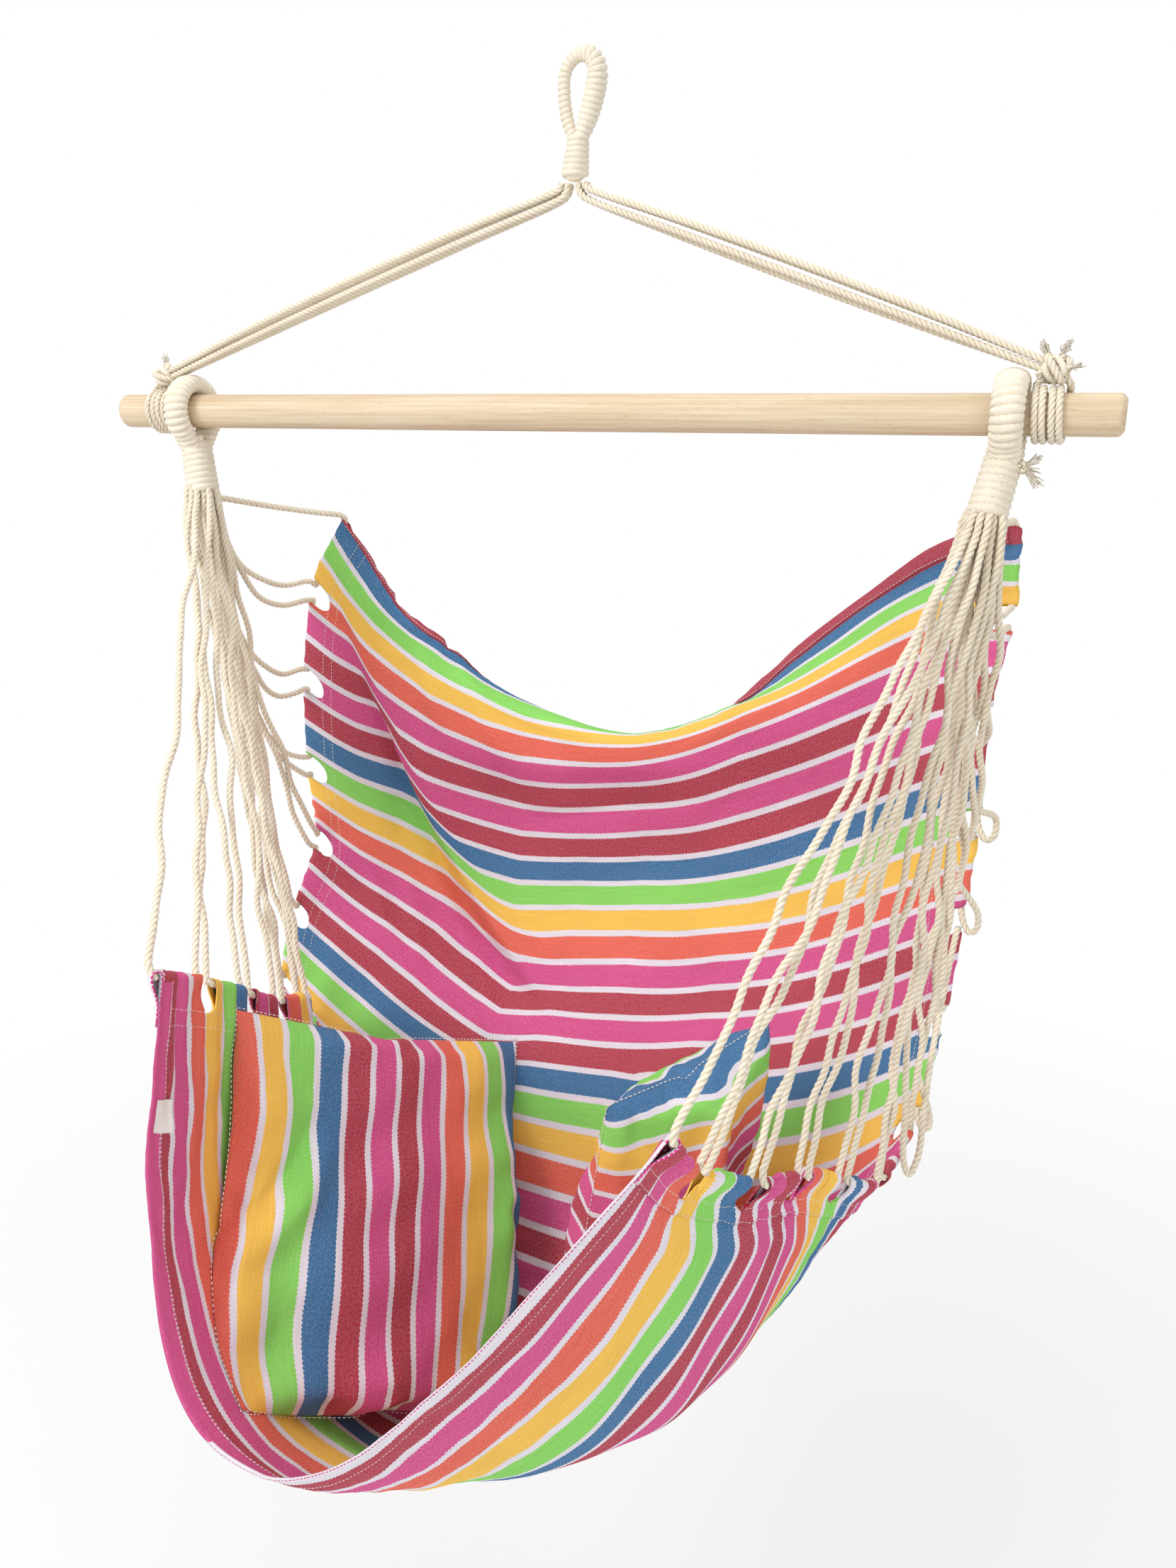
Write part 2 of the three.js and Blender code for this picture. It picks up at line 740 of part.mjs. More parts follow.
function sleeveFrame(side, sleeve) {
  const key = `${side} ${sleeve}`;
  if (!frameCache.has(key)) {
    const inward = new THREE.Vector3();
    const outward = new THREE.Vector3();
    const across = side < 0 ? 0 : 1;
    const [first, last] = sleeveEnds[sleeve].map((stripe) => clothPoint(across, stripe));
    const along = last.clone().sub(first).normalize();
    for (const stripe of sleeveEnds[sleeve]) {
      inward.add(clothPoint(side < 0 ? hemShare : 1 - hemShare, stripe).sub(clothPoint(across, stripe)).normalize());
      outward.add(clothNormal(across, stripe));
    }
    inward.addScaledVector(along, -inward.dot(along)).normalize();
    outward.addScaledVector(along, -outward.dot(along)).addScaledVector(inward, -outward.dot(inward)).normalize();
    frameCache.set(key, { inward, outward });
  }
  return frameCache.get(key);
}

// The cloth's edge at one end of a sleeve, and the middle of the rope's channel there
function edgeFrame(side, sleeve, end) {
  const { inward, outward } = sleeveFrame(side, sleeve);
  const edge = clothPoint(side < 0 ? 0 : 1, sleeveEnds[sleeve][end]);
  return { edge, inward, outward, channel: edge.clone().addScaledVector(outward, channelRadius) };
}

const clothColumns = 16;
const columnShares = [0];
for (let j = 0; j <= clothColumns - 2; j += 1) {
  columnShares.push(hemShare + ((1 - 2 * hemShare) * j) / (clothColumns - 2));
}
columnShares.push(1);

function clothGeometry() {
  const columns = clothColumns;
  const rows = sleeveEnds.flat();
  const wrapTurns = [60, 120, 180].map(THREE.MathUtils.degToRad);
  const points = [];
  const index = new Map();
  const halfThick = clothThickness / 2;
  const place = (row, column) => {
    const stripe = rows[row];
    if (column >= 0 && column <= columns) {
      const across = columnShares[column];
      return { point: clothPoint(across, stripe), outward: clothNormal(across, stripe) };
    }
    const side = column < 0 ? -1 : 1;
    const step = column < 0 ? -column : column - columns;
    const { edge, inward, outward, channel } = edgeFrame(side, Math.floor(row / 2), row % 2);
    if (step <= wrapTurns.length) {
      const turn = wrapTurns[step - 1];
      const away = outward.clone().multiplyScalar(-Math.cos(turn)).addScaledVector(inward, -Math.sin(turn));
      return { point: channel.clone().addScaledVector(away, channelRadius), outward: away.negate() };
    }
    const reach = edge.clone().addScaledVector(outward, 1.8 * channelRadius).addScaledVector(inward, flapReach);
    return { point: reach, outward: outward.clone().negate() };
  };
  const corner = (row, column, face) => {
    const key = `${row} ${column} ${face}`;
    if (!index.has(key)) {
      const { point, outward } = place(row, column);
      index.set(key, points.length);
      points.push(point.clone().addScaledVector(outward, face * halfThick));
    }
    return index.get(key);
  };
  const flap = wrapTurns.length + 1;
  const isSleeve = (row) => row % 2 === 0;
  const hasCell = (row, column) => {
    if (row < 0 || row >= rows.length - 1) return false;
    if (isSleeve(row)) return column >= -flap && column < columns + flap;
    return column >= 1 && column < columns - 1;
  };
  const triangles = [];
  const wall = (rowA, columnA, rowB, columnB) => {
    const a = corner(rowA, columnA, -1);
    const b = corner(rowB, columnB, -1);
    const c = corner(rowB, columnB, 1);
    const d = corner(rowA, columnA, 1);
    triangles.push([a, c, b], [a, d, c]);
  };
  for (let row = 0; row < rows.length - 1; row += 1) {
    for (let column = -flap; column < columns + flap; column += 1) {
      if (!hasCell(row, column)) continue;
      for (const face of [-1, 1]) {
        const a = corner(row, column, face);
        const b = corner(row, column + 1, face);
        const c = corner(row + 1, column + 1, face);
        const d = corner(row + 1, column, face);
        if (face > 0) triangles.push([a, b, c], [a, c, d]);
        else triangles.push([a, c, b], [a, d, c]);
      }
      if (!hasCell(row - 1, column)) wall(row, column + 1, row, column);
      if (!hasCell(row + 1, column)) wall(row + 1, column, row + 1, column + 1);
      if (!hasCell(row, column - 1)) wall(row, column, row + 1, column);
      if (!hasCell(row, column + 1)) wall(row + 1, column + 1, row, column + 1);
    }
  }
  return closedBody(points, triangles);
}

const canvas = addPiece('canvas_seat', clothGeometry(), clothFinish(colours.canvas));

// Harness ropes

// Spots on a triangular grid, the nearest to a grid triangle's middle, for the rope ends in a neck
function ropeSpots(count) {
  const spacing = harnessRope + ropeSpacingGap;
  const spots = [];
  for (let i = -6; i <= 6; i += 1) {
    for (let j = -6; j <= 6; j += 1) {
      spots.push(new THREE.Vector2((i + j / 2 - 0.5) * spacing, (j - 1 / 3) * spacing * Math.sin(Math.PI / 3)));
    }
  }
  spots.sort((a, b) => (a.length() - b.length()) || (a.x - b.x) || (a.y - b.y));
  return spots.slice(0, count);
}

// How slack a leg hangs, by its stripe number: the back ropes droop and the front ones are taut
function slackAt(stripe) {
  if (stripe < 0.5) return 0.12;
  return THREE.MathUtils.clamp((16 - stripe) / 9, 0, 1);
}

const tautSamples = [0.08, 0.2, 0.45, 0.72, 1];
const slackSamples = [0.12, 0.28, 0.46, 0.64, 0.82, 1];

function legLine(top, foot, stripe) {
  const slack = slackAt(stripe);
  const lead = top.clone().add(new THREE.Vector3(0, 0, -harnessRope));
  const taut = lead.clone().lerp(foot, 0.5);
  const drooping = new THREE.Vector3(
    THREE.MathUtils.lerp(lead.x, foot.x, 0.12),
    THREE.MathUtils.lerp(lead.y, foot.y, 0.25),
    foot.z - 0.1 * lead.distanceTo(foot),
  );
  const pull = taut.lerp(drooping, slack);
  const line = [top, lead];
  for (const s of slack > 0 ? slackSamples : tautSamples) {
    line.push(lead.clone().multiplyScalar((1 - s) ** 2)
      .addScaledVector(pull, 2 * s * (1 - s))
      .addScaledVector(foot, s * s));
  }
  return line;
}

// The nearest places of two straight runs of rope, as shares along them, and the way from one to the other
function nearest(a, b, c, d) {
  const first = b.clone().sub(a);
  const second = d.clone().sub(c);
  const between = a.clone().sub(c);
  const [aa, ee, bb] = [first.dot(first), second.dot(second), first.dot(second)];
  const [f, cc] = [second.dot(between), first.dot(between)];
  const denominator = aa * ee - bb * bb;
  let s = denominator > 1e-9 ? THREE.MathUtils.clamp((bb * f - cc * ee) / denominator, 0, 1) : 0;
  let t = (bb * s + f) / ee;
  if (t < 0) {
    t = 0;
    s = THREE.MathUtils.clamp(-cc / aa, 0, 1);
  } else if (t > 1) {
    t = 1;
    s = THREE.MathUtils.clamp((bb - cc) / aa, 0, 1);
  }
  const way = between.addScaledVector(first, s).addScaledVector(second, -t);
  return { s, t, way };
}

function lineDistance(one, other) {
  let least = Infinity;
  for (let i = 1; i < one.length; i += 1) {
    for (let j = 1; j < other.length; j += 1) {
      least = Math.min(least, nearest(one[i - 1], one[i], other[j - 1], other[j]).way.length());
    }
  }
  return least;
}

const legSpacing = harnessRope + ropeSpacingGap;

// Gives every leg its spot in the neck in the order of the sleeves, then swaps the pairs that crowd
function layLegs(spots, legs) {
  const order = legs.map((_, i) => i);
  const fan = legs.at(-1).foot.clone().sub(legs[0].foot).setZ(0).normalize();
  const rank = (spot) => spot.x * fan.x + spot.y * fan.y;
  const spotOf = [...order].sort((a, b) => rank(spots[a]) - rank(spots[b]));
  const lineOf = (leg) => legLine(legs.topAt(spots[spotOf[leg]]), legs[leg].foot, legs[leg].stripe);
  const lines = order.map(lineOf);
  const crowd = (leg) => {
    let cost = 0;
    for (const other of order) {
      if (other !== leg) cost += Math.max(0, legSpacing - lineDistance(lines[leg], lines[other])) ** 2;
    }
    return cost;
  };
  for (let pass = 0; pass < 6; pass += 1) {
    let swapped = false;
    for (let a = 0; a < legs.length; a += 1) {
      for (let b = a + 1; b < Math.min(a + 7, legs.length); b += 1) {
        const before = crowd(a) + crowd(b);
        if (before > 0) {
          [spotOf[a], spotOf[b]] = [spotOf[b], spotOf[a]];
          const kept = [lines[a], lines[b]];
          lines[a] = lineOf(a);
          lines[b] = lineOf(b);
          if (crowd(a) + crowd(b) < before * (1 - 1e-6)) {
            swapped = true;
          } else {
            [spotOf[a], spotOf[b]] = [spotOf[b], spotOf[a]];
            [lines[a], lines[b]] = kept;
          }
        }
      }
    }
    if (!swapped) break;
  }
  return lines;
}

// Ropes that still crowd each other push one another aside, all but their ends
function easeApart(lines) {
  const wanted = legSpacing + ropeSpacingGap;
  const free = (line, i) => (i > 1 && i < line.length - 1 ? 1 : 0);
  const push = (line, i, share, way) => {
    line[i - 1].addScaledVector(way, (1 - share) * free(line, i - 1));
    line[i].addScaledVector(way, share * free(line, i));
  };
  for (let pass = 0; pass < 120; pass += 1) {
    let moved = false;
    for (let a = 0; a < lines.length; a += 1) {
      for (let b = a + 1; b < lines.length; b += 1) {
        for (let i = 1; i < lines[a].length; i += 1) {
          for (let j = 1; j < lines[b].length; j += 1) {
            const { s, t, way } = nearest(lines[a][i - 1], lines[a][i], lines[b][j - 1], lines[b][j]);
            const short = wanted - way.length();
            if (short > harnessRope / 520) {
              way.setLength(0.6 * short);
              push(lines[a], i, s, way);
              push(lines[b], j, t, way.negate());
              moved = true;
            }
          }
        }
      }
    }
    if (!moved) break;
  }
  return lines;
}

// A rope turns out of its sleeve and past the sleeve's side before it rises, and the rope from the
// sleeve below passes outside it
const mouthRun = 1.5 * harnessRope;
const mouthRoom = 1.6 * harnessRope;
const ropeAside = channelRadius + clothThickness + harnessRope / 2 + restGap;
const ropePass = 1.1 * harnessRope;

for (const [sideName, side] of [['left', -1], ['right', 1]]) {
  const place = eyePlace[sideName];
  const base = neckAxisAt(place, neckBottom);
  const sleeves = sleeveEnds.map(([start, end], k) => {
    const upper = edgeFrame(side, k, 0).channel;
    const lower = edgeFrame(side, k, 1).channel;
    const along = lower.clone().sub(upper).normalize();
    return { start, end, upper, lower, along };
  });
  const legs = [];
  sleeves.forEach((sleeve, k) => {
    for (const [stripe, mouth, sense] of [[sleeve.start, sleeve.upper, -1], [sleeve.end, sleeve.lower, 1]]) {
      const toNeck = base.clone().sub(mouth).normalize();
      const next = sleeves[k + sense];
      const room = next ? mouth.distanceTo(sense < 0 ? next.lower : next.upper) : Infinity;
      const run = Math.min(mouthRun, (room - mouthRoom) / 2);
      const out = mouth.clone().addScaledVector(sleeve.along, sense * run);
      const slant = toNeck.dot(sleeve.along);
      const aside = toNeck.clone().addScaledVector(sleeve.along, -slant).normalize();
      const past = sense < 0 ? slant * slant * ropePass : 0;
      const foot = out.clone().addScaledVector(aside, ropeAside + past).addScaledVector(sleeve.along, -sense * run / 2);
      legs.push({ stripe, mouth, out, foot });
    }
  });
  legs.topAt = (spot) => new THREE.Vector3(base.x + spot.x, base.y + spot.y, base.z - restGap);
  const lines = easeApart(layLegs(ropeSpots(legs.length), legs));
  sleeves.forEach((sleeve, k) => {
    const [down, up] = [lines[2 * k], lines[2 * k + 1]];
    const turn = ({ foot, out, mouth }) => {
      const bend = [0.35, 0.7].map((s) => foot.clone().lerp(out, s).lerp(out.clone().lerp(mouth, s), s));
      return [...bend, mouth];
    };
    const stations = [
      ...down,
      ...turn(legs[2 * k]),
      sleeve.upper.clone().lerp(sleeve.lower, 0.5),
      ...turn(legs[2 * k + 1]).reverse(),
      ...[...up].reverse(),
    ];
    const number = String(k + 1).padStart(2, '0');
    addPiece(`${sideName}_harness_rope_${number}`, ropeGeometry(stations, harnessRope), ropeFinish());
  });
}

// Cushions

// Corners as shares of the cloth's width from the middle of the bar's axis, in the order
// top left, top right, bottom right, bottom left as seen from the front
const leftCushionShares = [
  [-0.226, -0.248, -0.540],
  [-0.067, 0.052, -0.692],
  [0.032, -0.190, -0.945],
  [-0.150, -0.400, -0.872],
];
const rightCushionShares = [
  [0.130, -0.170, -0.608],
  [0.242, -0.022, -0.567],
  [0.195, -0.028, -0.817],
  [0.095, -0.225, -0.880],
];

// A stuffed cover: crowned on both faces, thin at its seam, with its sides drawn in between the corners
function cushionPoints(shares, thickness, bow, steps) {
  const [topLeft, topRight, bottomRight, bottomLeft] = shares.map(fromShares);
  const drawIn = 0.05;
  const at = (x, y) => {
    const a = (x * (1 - drawIn * (1 - y * y)) + 1) / 2;
    const b = (y * (1 - drawIn * (1 - x * x)) + 1) / 2;
    const low = bottomLeft.clone().lerp(bottomRight, a);
    return low.lerp(topLeft.clone().lerp(topRight, a), b);
  };
  const wide = topRight.clone().sub(topLeft).add(bottomRight).sub(bottomLeft);
  const tall = topLeft.clone().sub(bottomLeft).add(topRight).sub(bottomRight);
  const facing = wide.cross(tall).normalize();
  const grid = [];
  for (let i = 0; i <= steps; i += 1) {
    for (let j = 0; j <= steps; j += 1) {
      const x = (2 * i) / steps - 1;
      const y = (2 * j) / steps - 1;
      const crown = ((1 - x * x) * (1 - y * y)) ** 0.42;
      const centre = at(x, y).addScaledVector(facing, -bow * (1 - x * x) * (1 - y * y));
      const rim = i === 0 || j === 0 || i === steps || j === steps;
      grid.push({ centre, crown: rim ? 0 : (thickness / 2) * crown, rim });
    }
  }
  return { grid, facing };
}

// The cloth's body as the flat facets that the mesh has, for the cushions to lie against
function clothFacets() {
  const facets = [];
  const rows = sleeveEnds.flat();
  for (let row = 0; row + 1 < rows.length; row += 1) {
    for (let column = 0; column < clothColumns; column += 1) {
      const [a, b, c, d] = [[row, column], [row, column + 1], [row + 1, column + 1], [row + 1, column]]
        .map(([r, k]) => clothPoint(columnShares[k], rows[r]));
      facets.push(new THREE.Triangle(a, b, c), new THREE.Triangle(a, c, d));
    }
  }
  return facets;
}

const facets = clothFacets();

// Presses a stuffed cover's points off the cloth, so that it rests against it
function settle(points) {
  const wanted = clothThickness / 2 + cushionGap;
  const touch = new THREE.Vector3();
  const best = new THREE.Vector3();
  const facing = new THREE.Vector3();
  for (const point of points) {
    for (let pass = 0; pass < 4; pass += 1) {
      let least = Infinity;
      let nearestFacet = null;
      for (const facet of facets) {
        facet.closestPointToPoint(point, touch);
        const distance = touch.distanceToSquared(point);
        if (distance < least - 1e-9) {
          least = distance;
          nearestFacet = facet;
          best.copy(touch);
        }
      }
      nearestFacet.getNormal(facing);
      const height = -point.clone().sub(best).dot(facing);
      if (height >= wanted - 1e-3) break;
      point.addScaledVector(facing, height - wanted);
    }
  }
}

function cushionGeometry(shares, thickness, bow) {
  const steps = 12;
  const { grid, facing } = cushionPoints(shares, thickness, bow, steps);
  const points = [];
  const front = [];
  const back = [];
  grid.forEach(({ centre, crown, rim }) => {
    front.push(points.length);
    points.push(centre.clone().addScaledVector(facing, crown));
    back.push(rim ? points.length - 1 : points.length);
    if (!rim) points.push(centre.clone().addScaledVector(facing, -crown));
  });
  settle(points);
  const triangles = [];
  const n = steps + 1;
  for (let i = 0; i < steps; i += 1) {
    for (let j = 0; j < steps; j += 1) {
      const [a, b, c, d] = [i * n + j, (i + 1) * n + j, (i + 1) * n + j + 1, i * n + j + 1];
      triangles.push([front[a], front[b], front[c]], [front[a], front[c], front[d]]);
      triangles.push([back[a], back[c], back[b]], [back[a], back[d], back[c]]);
    }
  }
  return closedBody(points, triangles);
}

addPiece('left_cushion', cushionGeometry(leftCushionShares, cushionThickness, leftCushionBow), clothFinish(colours.cushionLeft));
addPiece('right_cushion', cushionGeometry(rightCushionShares, rightCushionThickness, rightCushionBow), clothFinish(colours.cushionRight));

// Care label, blank, flat on the inner face of the front hem near the left corner
function labelGeometry() {
  const across = 0.125;
  const halfWide = labelWidth / clothWidth / 2;
  const end = lastStripe - 0.25;
  const start = end - labelLength / stripePitch;
  const points = [];
  for (const face of [0, 1]) {
    for (const [a, t] of [[-1, start], [1, start], [1, end], [-1, end]]) {
      const here = across + a * halfWide;
      const depth = clothThickness / 2 + restGap + 0.3 * clothThickness + face * labelThickness;
      points.push(clothPoint(here, t).addScaledVector(clothNormal(across, (start + end) / 2), -depth));
    }
  }
  const triangles = [[0, 1, 2], [0, 2, 3], [4, 6, 5], [4, 7, 6]];
  for (let i = 0; i < 4; i += 1) {
    const j = (i + 1) % 4;
    triangles.push([i, j + 4, j], [i, i + 4, j + 4]);
  }
  return closedBody(points, triangles);
}

addPiece('care_label', labelGeometry(), clothFinish(colours.label));

export default chair;
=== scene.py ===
"""A striped hammock chair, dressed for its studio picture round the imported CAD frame.

Lengths are metres. The origin is where a hook bears in the hanging eye, X runs along the bar, Y to the
back of the seat and Z up.
"""

import logging
import math
from dataclasses import dataclass
from enum import Enum
from typing import Any, Mapping, Sequence

import bmesh
import bpy
import numpy as np
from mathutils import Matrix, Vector
from mathutils.bvhtree import BVHTree


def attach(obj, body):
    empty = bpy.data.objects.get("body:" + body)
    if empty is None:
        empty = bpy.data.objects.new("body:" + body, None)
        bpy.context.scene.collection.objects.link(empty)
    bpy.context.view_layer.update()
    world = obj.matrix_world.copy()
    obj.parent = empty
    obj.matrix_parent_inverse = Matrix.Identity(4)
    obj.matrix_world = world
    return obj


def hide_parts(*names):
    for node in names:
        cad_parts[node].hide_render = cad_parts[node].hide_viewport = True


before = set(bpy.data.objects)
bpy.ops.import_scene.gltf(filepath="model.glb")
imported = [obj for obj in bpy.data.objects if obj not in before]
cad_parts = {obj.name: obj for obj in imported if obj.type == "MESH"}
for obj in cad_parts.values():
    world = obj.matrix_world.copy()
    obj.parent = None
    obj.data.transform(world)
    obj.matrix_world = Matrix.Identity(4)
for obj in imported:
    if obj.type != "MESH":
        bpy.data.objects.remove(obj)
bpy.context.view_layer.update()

LOG = logging.getLogger("hammock_chair")
TAU = 2 * math.pi

MATH = "ShaderNodeMath"
VECTOR = "ShaderNodeVectorMath"
NOISE = "ShaderNodeTexNoise"
RANGE = "ShaderNodeMapRange"
MIX = "ShaderNodeMix"
BUMP = "ShaderNodeBump"
SPLIT = "ShaderNodeSeparateXYZ"

Points = np.ndarray
Tree = bpy.types.NodeTree
Node = bpy.types.Node
Socket = bpy.types.NodeSocket
Material = bpy.types.Material
Piece = bpy.types.Object


class Body(Enum):
    """The CAD bodies that the pieces ride on."""

    EYE = "eye"
    SUSPENSION = "suspension"
    SEAT = "seat"
    LEFT_CUSHION = "left_cushion"
    RIGHT_CUSHION = "right_cushion"


class Side(Enum):
    """The two ends of the bar as the picture shows them, with the sign of X."""

    LEFT = -1
    RIGHT = 1

    @property
    def word(self) -> str:
        """The side's name as the CAD nodes spell it."""
        return self.name.lower()


# Node trees, materials and meshes


def linear(hex_colour: str) -> tuple[float, float, float, float]:
    """Turns an sRGB hex colour to the linear RGBA that a shader reads.

    Args:
        hex_colour: six hex digits, with or without a leading hash.

    Returns:
        Linear red, green and blue, and an alpha of 1.
    """
    digits = hex_colour.lstrip("#")
    parts = [int(digits[i:i + 2], 16) / 255 for i in (0, 2, 4)]
    red, green, blue = (c / 12.92 if c <= 0.04045 else ((c + 0.055) / 1.055) ** 2.4 for c in parts)
    return (red, green, blue, 1.0)


def add_node(tree: Tree, kind: str, inputs: Mapping[Any, Any] | Sequence = (), **settings: Any) -> Node:
    """Adds a node with its settings, and fills or links its inputs.

    Args:
        tree: the shader or geometry tree.
        kind: the node's type.
        inputs: a value, an output socket or a node, which stands for its first output, for each input, by
            its name or number, or in order.
        **settings: the node's own properties.

    Returns:
        The node.
    """
    node = tree.nodes.new(kind)
    for name, value in settings.items():
        setattr(node, name, value)
    for key, value in inputs.items() if isinstance(inputs, Mapping) else enumerate(inputs):
        if isinstance(value, Node):
            value = value.outputs[0]
        if isinstance(value, Socket):
            tree.links.new(value, node.inputs[key])
        else:
            node.inputs[key].default_value = value
    return node


def paint(
    tree: Tree,
    shader: Node,
    colour: Socket,
    bump: Node,
    roughness: float,
    specular: float = 0.5,
    sheen: float = 0.0,
) -> None:
    """Gives a shader its colour, its fine bumps and its gloss.

    Args:
        tree: the shader tree.
        shader: the Principled shader.
        colour: the colour's socket.
        bump: the node that makes the bumps.
        roughness: from 0 for a mirror to 1 for matt.
        specular: the strength of the gloss.
        sheen: the strength of the fuzz at grazing angles.
    """
    tree.links.new(colour, shader.inputs["Base Color"])
    tree.links.new(bump.outputs[0], shader.inputs["Normal"])
    for name, value in (("Roughness", roughness), ("Specular IOR Level", specular), ("Sheen Weight", sheen)):
        shader.inputs[name].default_value = value


def seen_by_camera(tree: Tree) -> Socket:
    """1 for rays from the camera, a gloss or glass, and 0 for the rays that light the scene."""
    rays = add_node(tree, "ShaderNodeLightPath").outputs
    direct = add_node(tree, MATH, (rays["Is Camera Ray"], rays["Is Glossy Ray"]), operation="MAXIMUM")
    return add_node(tree, MATH, (direct, rays["Is Transmission Ray"]), operation="MAXIMUM").outputs[0]


def start_tree(name: str, sizes: Mapping[str, str]) -> tuple[Tree, Any]:
    """Starts a geometry tree that takes a line of edges and some named inputs.

    Args:
        name: the tree's name.
        sizes: the kind of each named input, such as Float.

    Returns:
        The tree and the sockets that its inputs come in by.
    """
    tree = bpy.data.node_groups.new(name, "GeometryNodeTree")
    for socket, kind in {"Line": "Geometry", **sizes}.items():
        tree.interface.new_socket(name=socket, in_out="INPUT", socket_type=f"NodeSocket{kind}")
    tree.interface.new_socket(name="Made", in_out="OUTPUT", socket_type="NodeSocketGeometry")
    return tree, add_node(tree, "NodeGroupInput").outputs


def end_tree(tree: Tree, made: Socket, finish: Socket) -> None:
    """Ends a geometry tree.

    Args:
        tree: the tree.
        made: what it has made.
        finish: the material that it gives to this.
    """
    real = add_node(tree, "GeometryNodeRealizeInstances", {"Geometry": made})
    shaded = add_node(tree, "GeometryNodeSetShadeSmooth", {"Geometry": real.outputs[0]})
    dressed = add_node(tree, "GeometryNodeSetMaterial", {"Geometry": shaded.outputs[0], "Material": finish})
    add_node(tree, "NodeGroupOutput", {0: dressed.outputs[0]})


def start_material(name: str) -> tuple[Material, Tree, Node]:
    """Starts a node material.

    Args:
        name: the material's name.

    Returns:
        The material, its tree and its Principled shader.
    """
    material = bpy.data.materials.new(name)
    material.use_nodes = True
    tree = material.node_tree
    return material, tree, tree.nodes["Principled BSDF"]


def new_piece(name: str, points: Points, faces: Sequence[Sequence[int]], edges: Sequence = ()) -> Piece:
    """Makes a mesh object at the origin from its points.

    Args:
        name: the piece's name.
        points: corner points in metres.
        faces: corner numbers of each face.
        edges: loose edges, for a line that a node tree turns to a solid.

    Returns:
        The linked object.
    """
    mesh = bpy.data.meshes.new(name)
    mesh.from_pydata([tuple(p) for p in np.asarray(points, float)], list(edges), [tuple(f) for f in faces])
    mesh.update()
    piece = bpy.data.objects.new(name, mesh)
    bpy.context.scene.collection.objects.link(piece)
    return piece


def smooth(piece: Piece) -> None:
    """Shades every face of a piece smooth."""
    piece.data.polygons.foreach_set("use_smooth", [True] * len(piece.data.polygons))
    piece.data.update()


def point_out(piece: Piece) -> None:
    """Merges a closed piece's doubled points and turns its faces outwards."""
    work = bmesh.new()
    work.from_mesh(piece.data)
    bmesh.ops.remove_doubles(work, verts=work.verts, dist=1e-7)
    bmesh.ops.recalc_face_normals(work, faces=work.faces)
    work.to_mesh(piece.data)
    work.free()


def freeze(piece: Piece) -> Piece:
    """Turns a piece's modifiers into its plain mesh.

    Args:
        piece: an object with live modifiers.

    Returns:
        The same object, with the evaluated mesh and no modifier.
    """
    graph = bpy.context.evaluated_depsgraph_get()
    plain = bpy.data.meshes.new_from_object(piece.evaluated_get(graph), depsgraph=graph)
    piece.modifiers.clear()
    spare = piece.data
    piece.data = plain
    plain.name = piece.name
    bpy.data.meshes.remove(spare)
    return piece


def dress(piece: Piece, material: Material, slot: str, body: Body, *nodes: str) -> None:
    """Gives a finished piece its material, its body and the CAD nodes that it stands for.

    Args:
        piece: the finished piece.
        material: its only material.
        slot: the record's material slot; not used.
        body: the CAD body that it rides on.
        *nodes: the CAD nodes that it replaces.
    """
    piece.data.materials.clear()
    piece.data.materials.append(material)
    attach(piece, body.value)
    if nodes:
        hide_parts(*nodes)
    LOG.info("%s: %d faces on %s", piece.name, len(piece.data.polygons), body.value)


def unfold(piece: Piece, flat: Sequence) -> None:
    """Gives a piece the UV map that the woven stripes read.

    Args:
        piece: the piece.
        flat: the place of each point on the flat cloth, in metres along and across the stripes.
    """
    layer = piece.data.uv_layers.new(name="cloth")
    corners = np.zeros(len(piece.data.loops), int)
    piece.data.loops.foreach_get("vertex_index", corners)
    layer.data.foreach_set("uv", np.array(flat)[corners].ravel())


def thicken(piece: Piece, thickness: float) -> None:
    """Gives a sheet its thickness, half of it to each side."""
    solid = piece.modifiers.new("thickness", "SOLIDIFY")
    solid.thickness = thickness
    solid.offset = 0.0
    freeze(piece)


def lattice_quads(high: int, wide: int) -> list[tuple[int, ...]]:
    """The corner numbers of each face of a lattice, row by row."""
    starts = [i * wide + j for i in range(high - 1) for j in range(wide - 1)]
    return [(k, k + 1, k + wide + 1, k + wide) for k in starts]


def run_tree(name: str, lines: Sequence[Points], tree: Tree, values: Mapping[str, Any]) -> Piece:
    """Makes one plain mesh from some lines with a geometry tree.

    Args:
        name: the piece's name.
        lines: the lines' points.
        tree: a tree that takes the lines as loose edges.
        values: a value for each of the tree's named inputs.

    Returns:
        The piece.
    """
    edges = []
    start = 0
    for line in lines:
        edges += [(start + i, start + i + 1) for i in range(len(line) - 1)]
        start += len(line)
    piece = new_piece(name, np.vstack(lines), [], edges)
    modifier = piece.modifiers.new(tree.name, "NODES")
    modifier.node_group = tree
    for item in tree.interface.items_tree:
        if item.in_out == "INPUT" and item.name in values:
            modifier[item.identifier] = values[item.name]
    return freeze(piece)


def loft(name: str, rings: Sequence[Points]) -> Piece:
    """Lofts a closed body through rings of points.

    Args:
        name: the piece's name.
        rings: rings with as many points each.

    Returns:
        The piece, with a fan over both ends.
    """
    sides = len(rings[0])
    points = [p for ring in rings for p in ring]
    faces = []
    for i in range(len(rings) - 1):
        for j in range(sides):
            a, b = i * sides + j, i * sides + (j + 1) % sides
            faces.append((a, b, b + sides, a + sides))
    for first, ring in ((0, rings[0]), ((len(rings) - 1) * sides, rings[-1])):
        centre = len(points)
        points.append(np.mean(ring, axis=0))
        faces += [(centre, first + j, first + (j + 1) % sides) for j in range(sides)]
    piece = new_piece(name, np.array(points), faces)
    point_out(piece)
    smooth(piece)
    return piece


# Lines in space


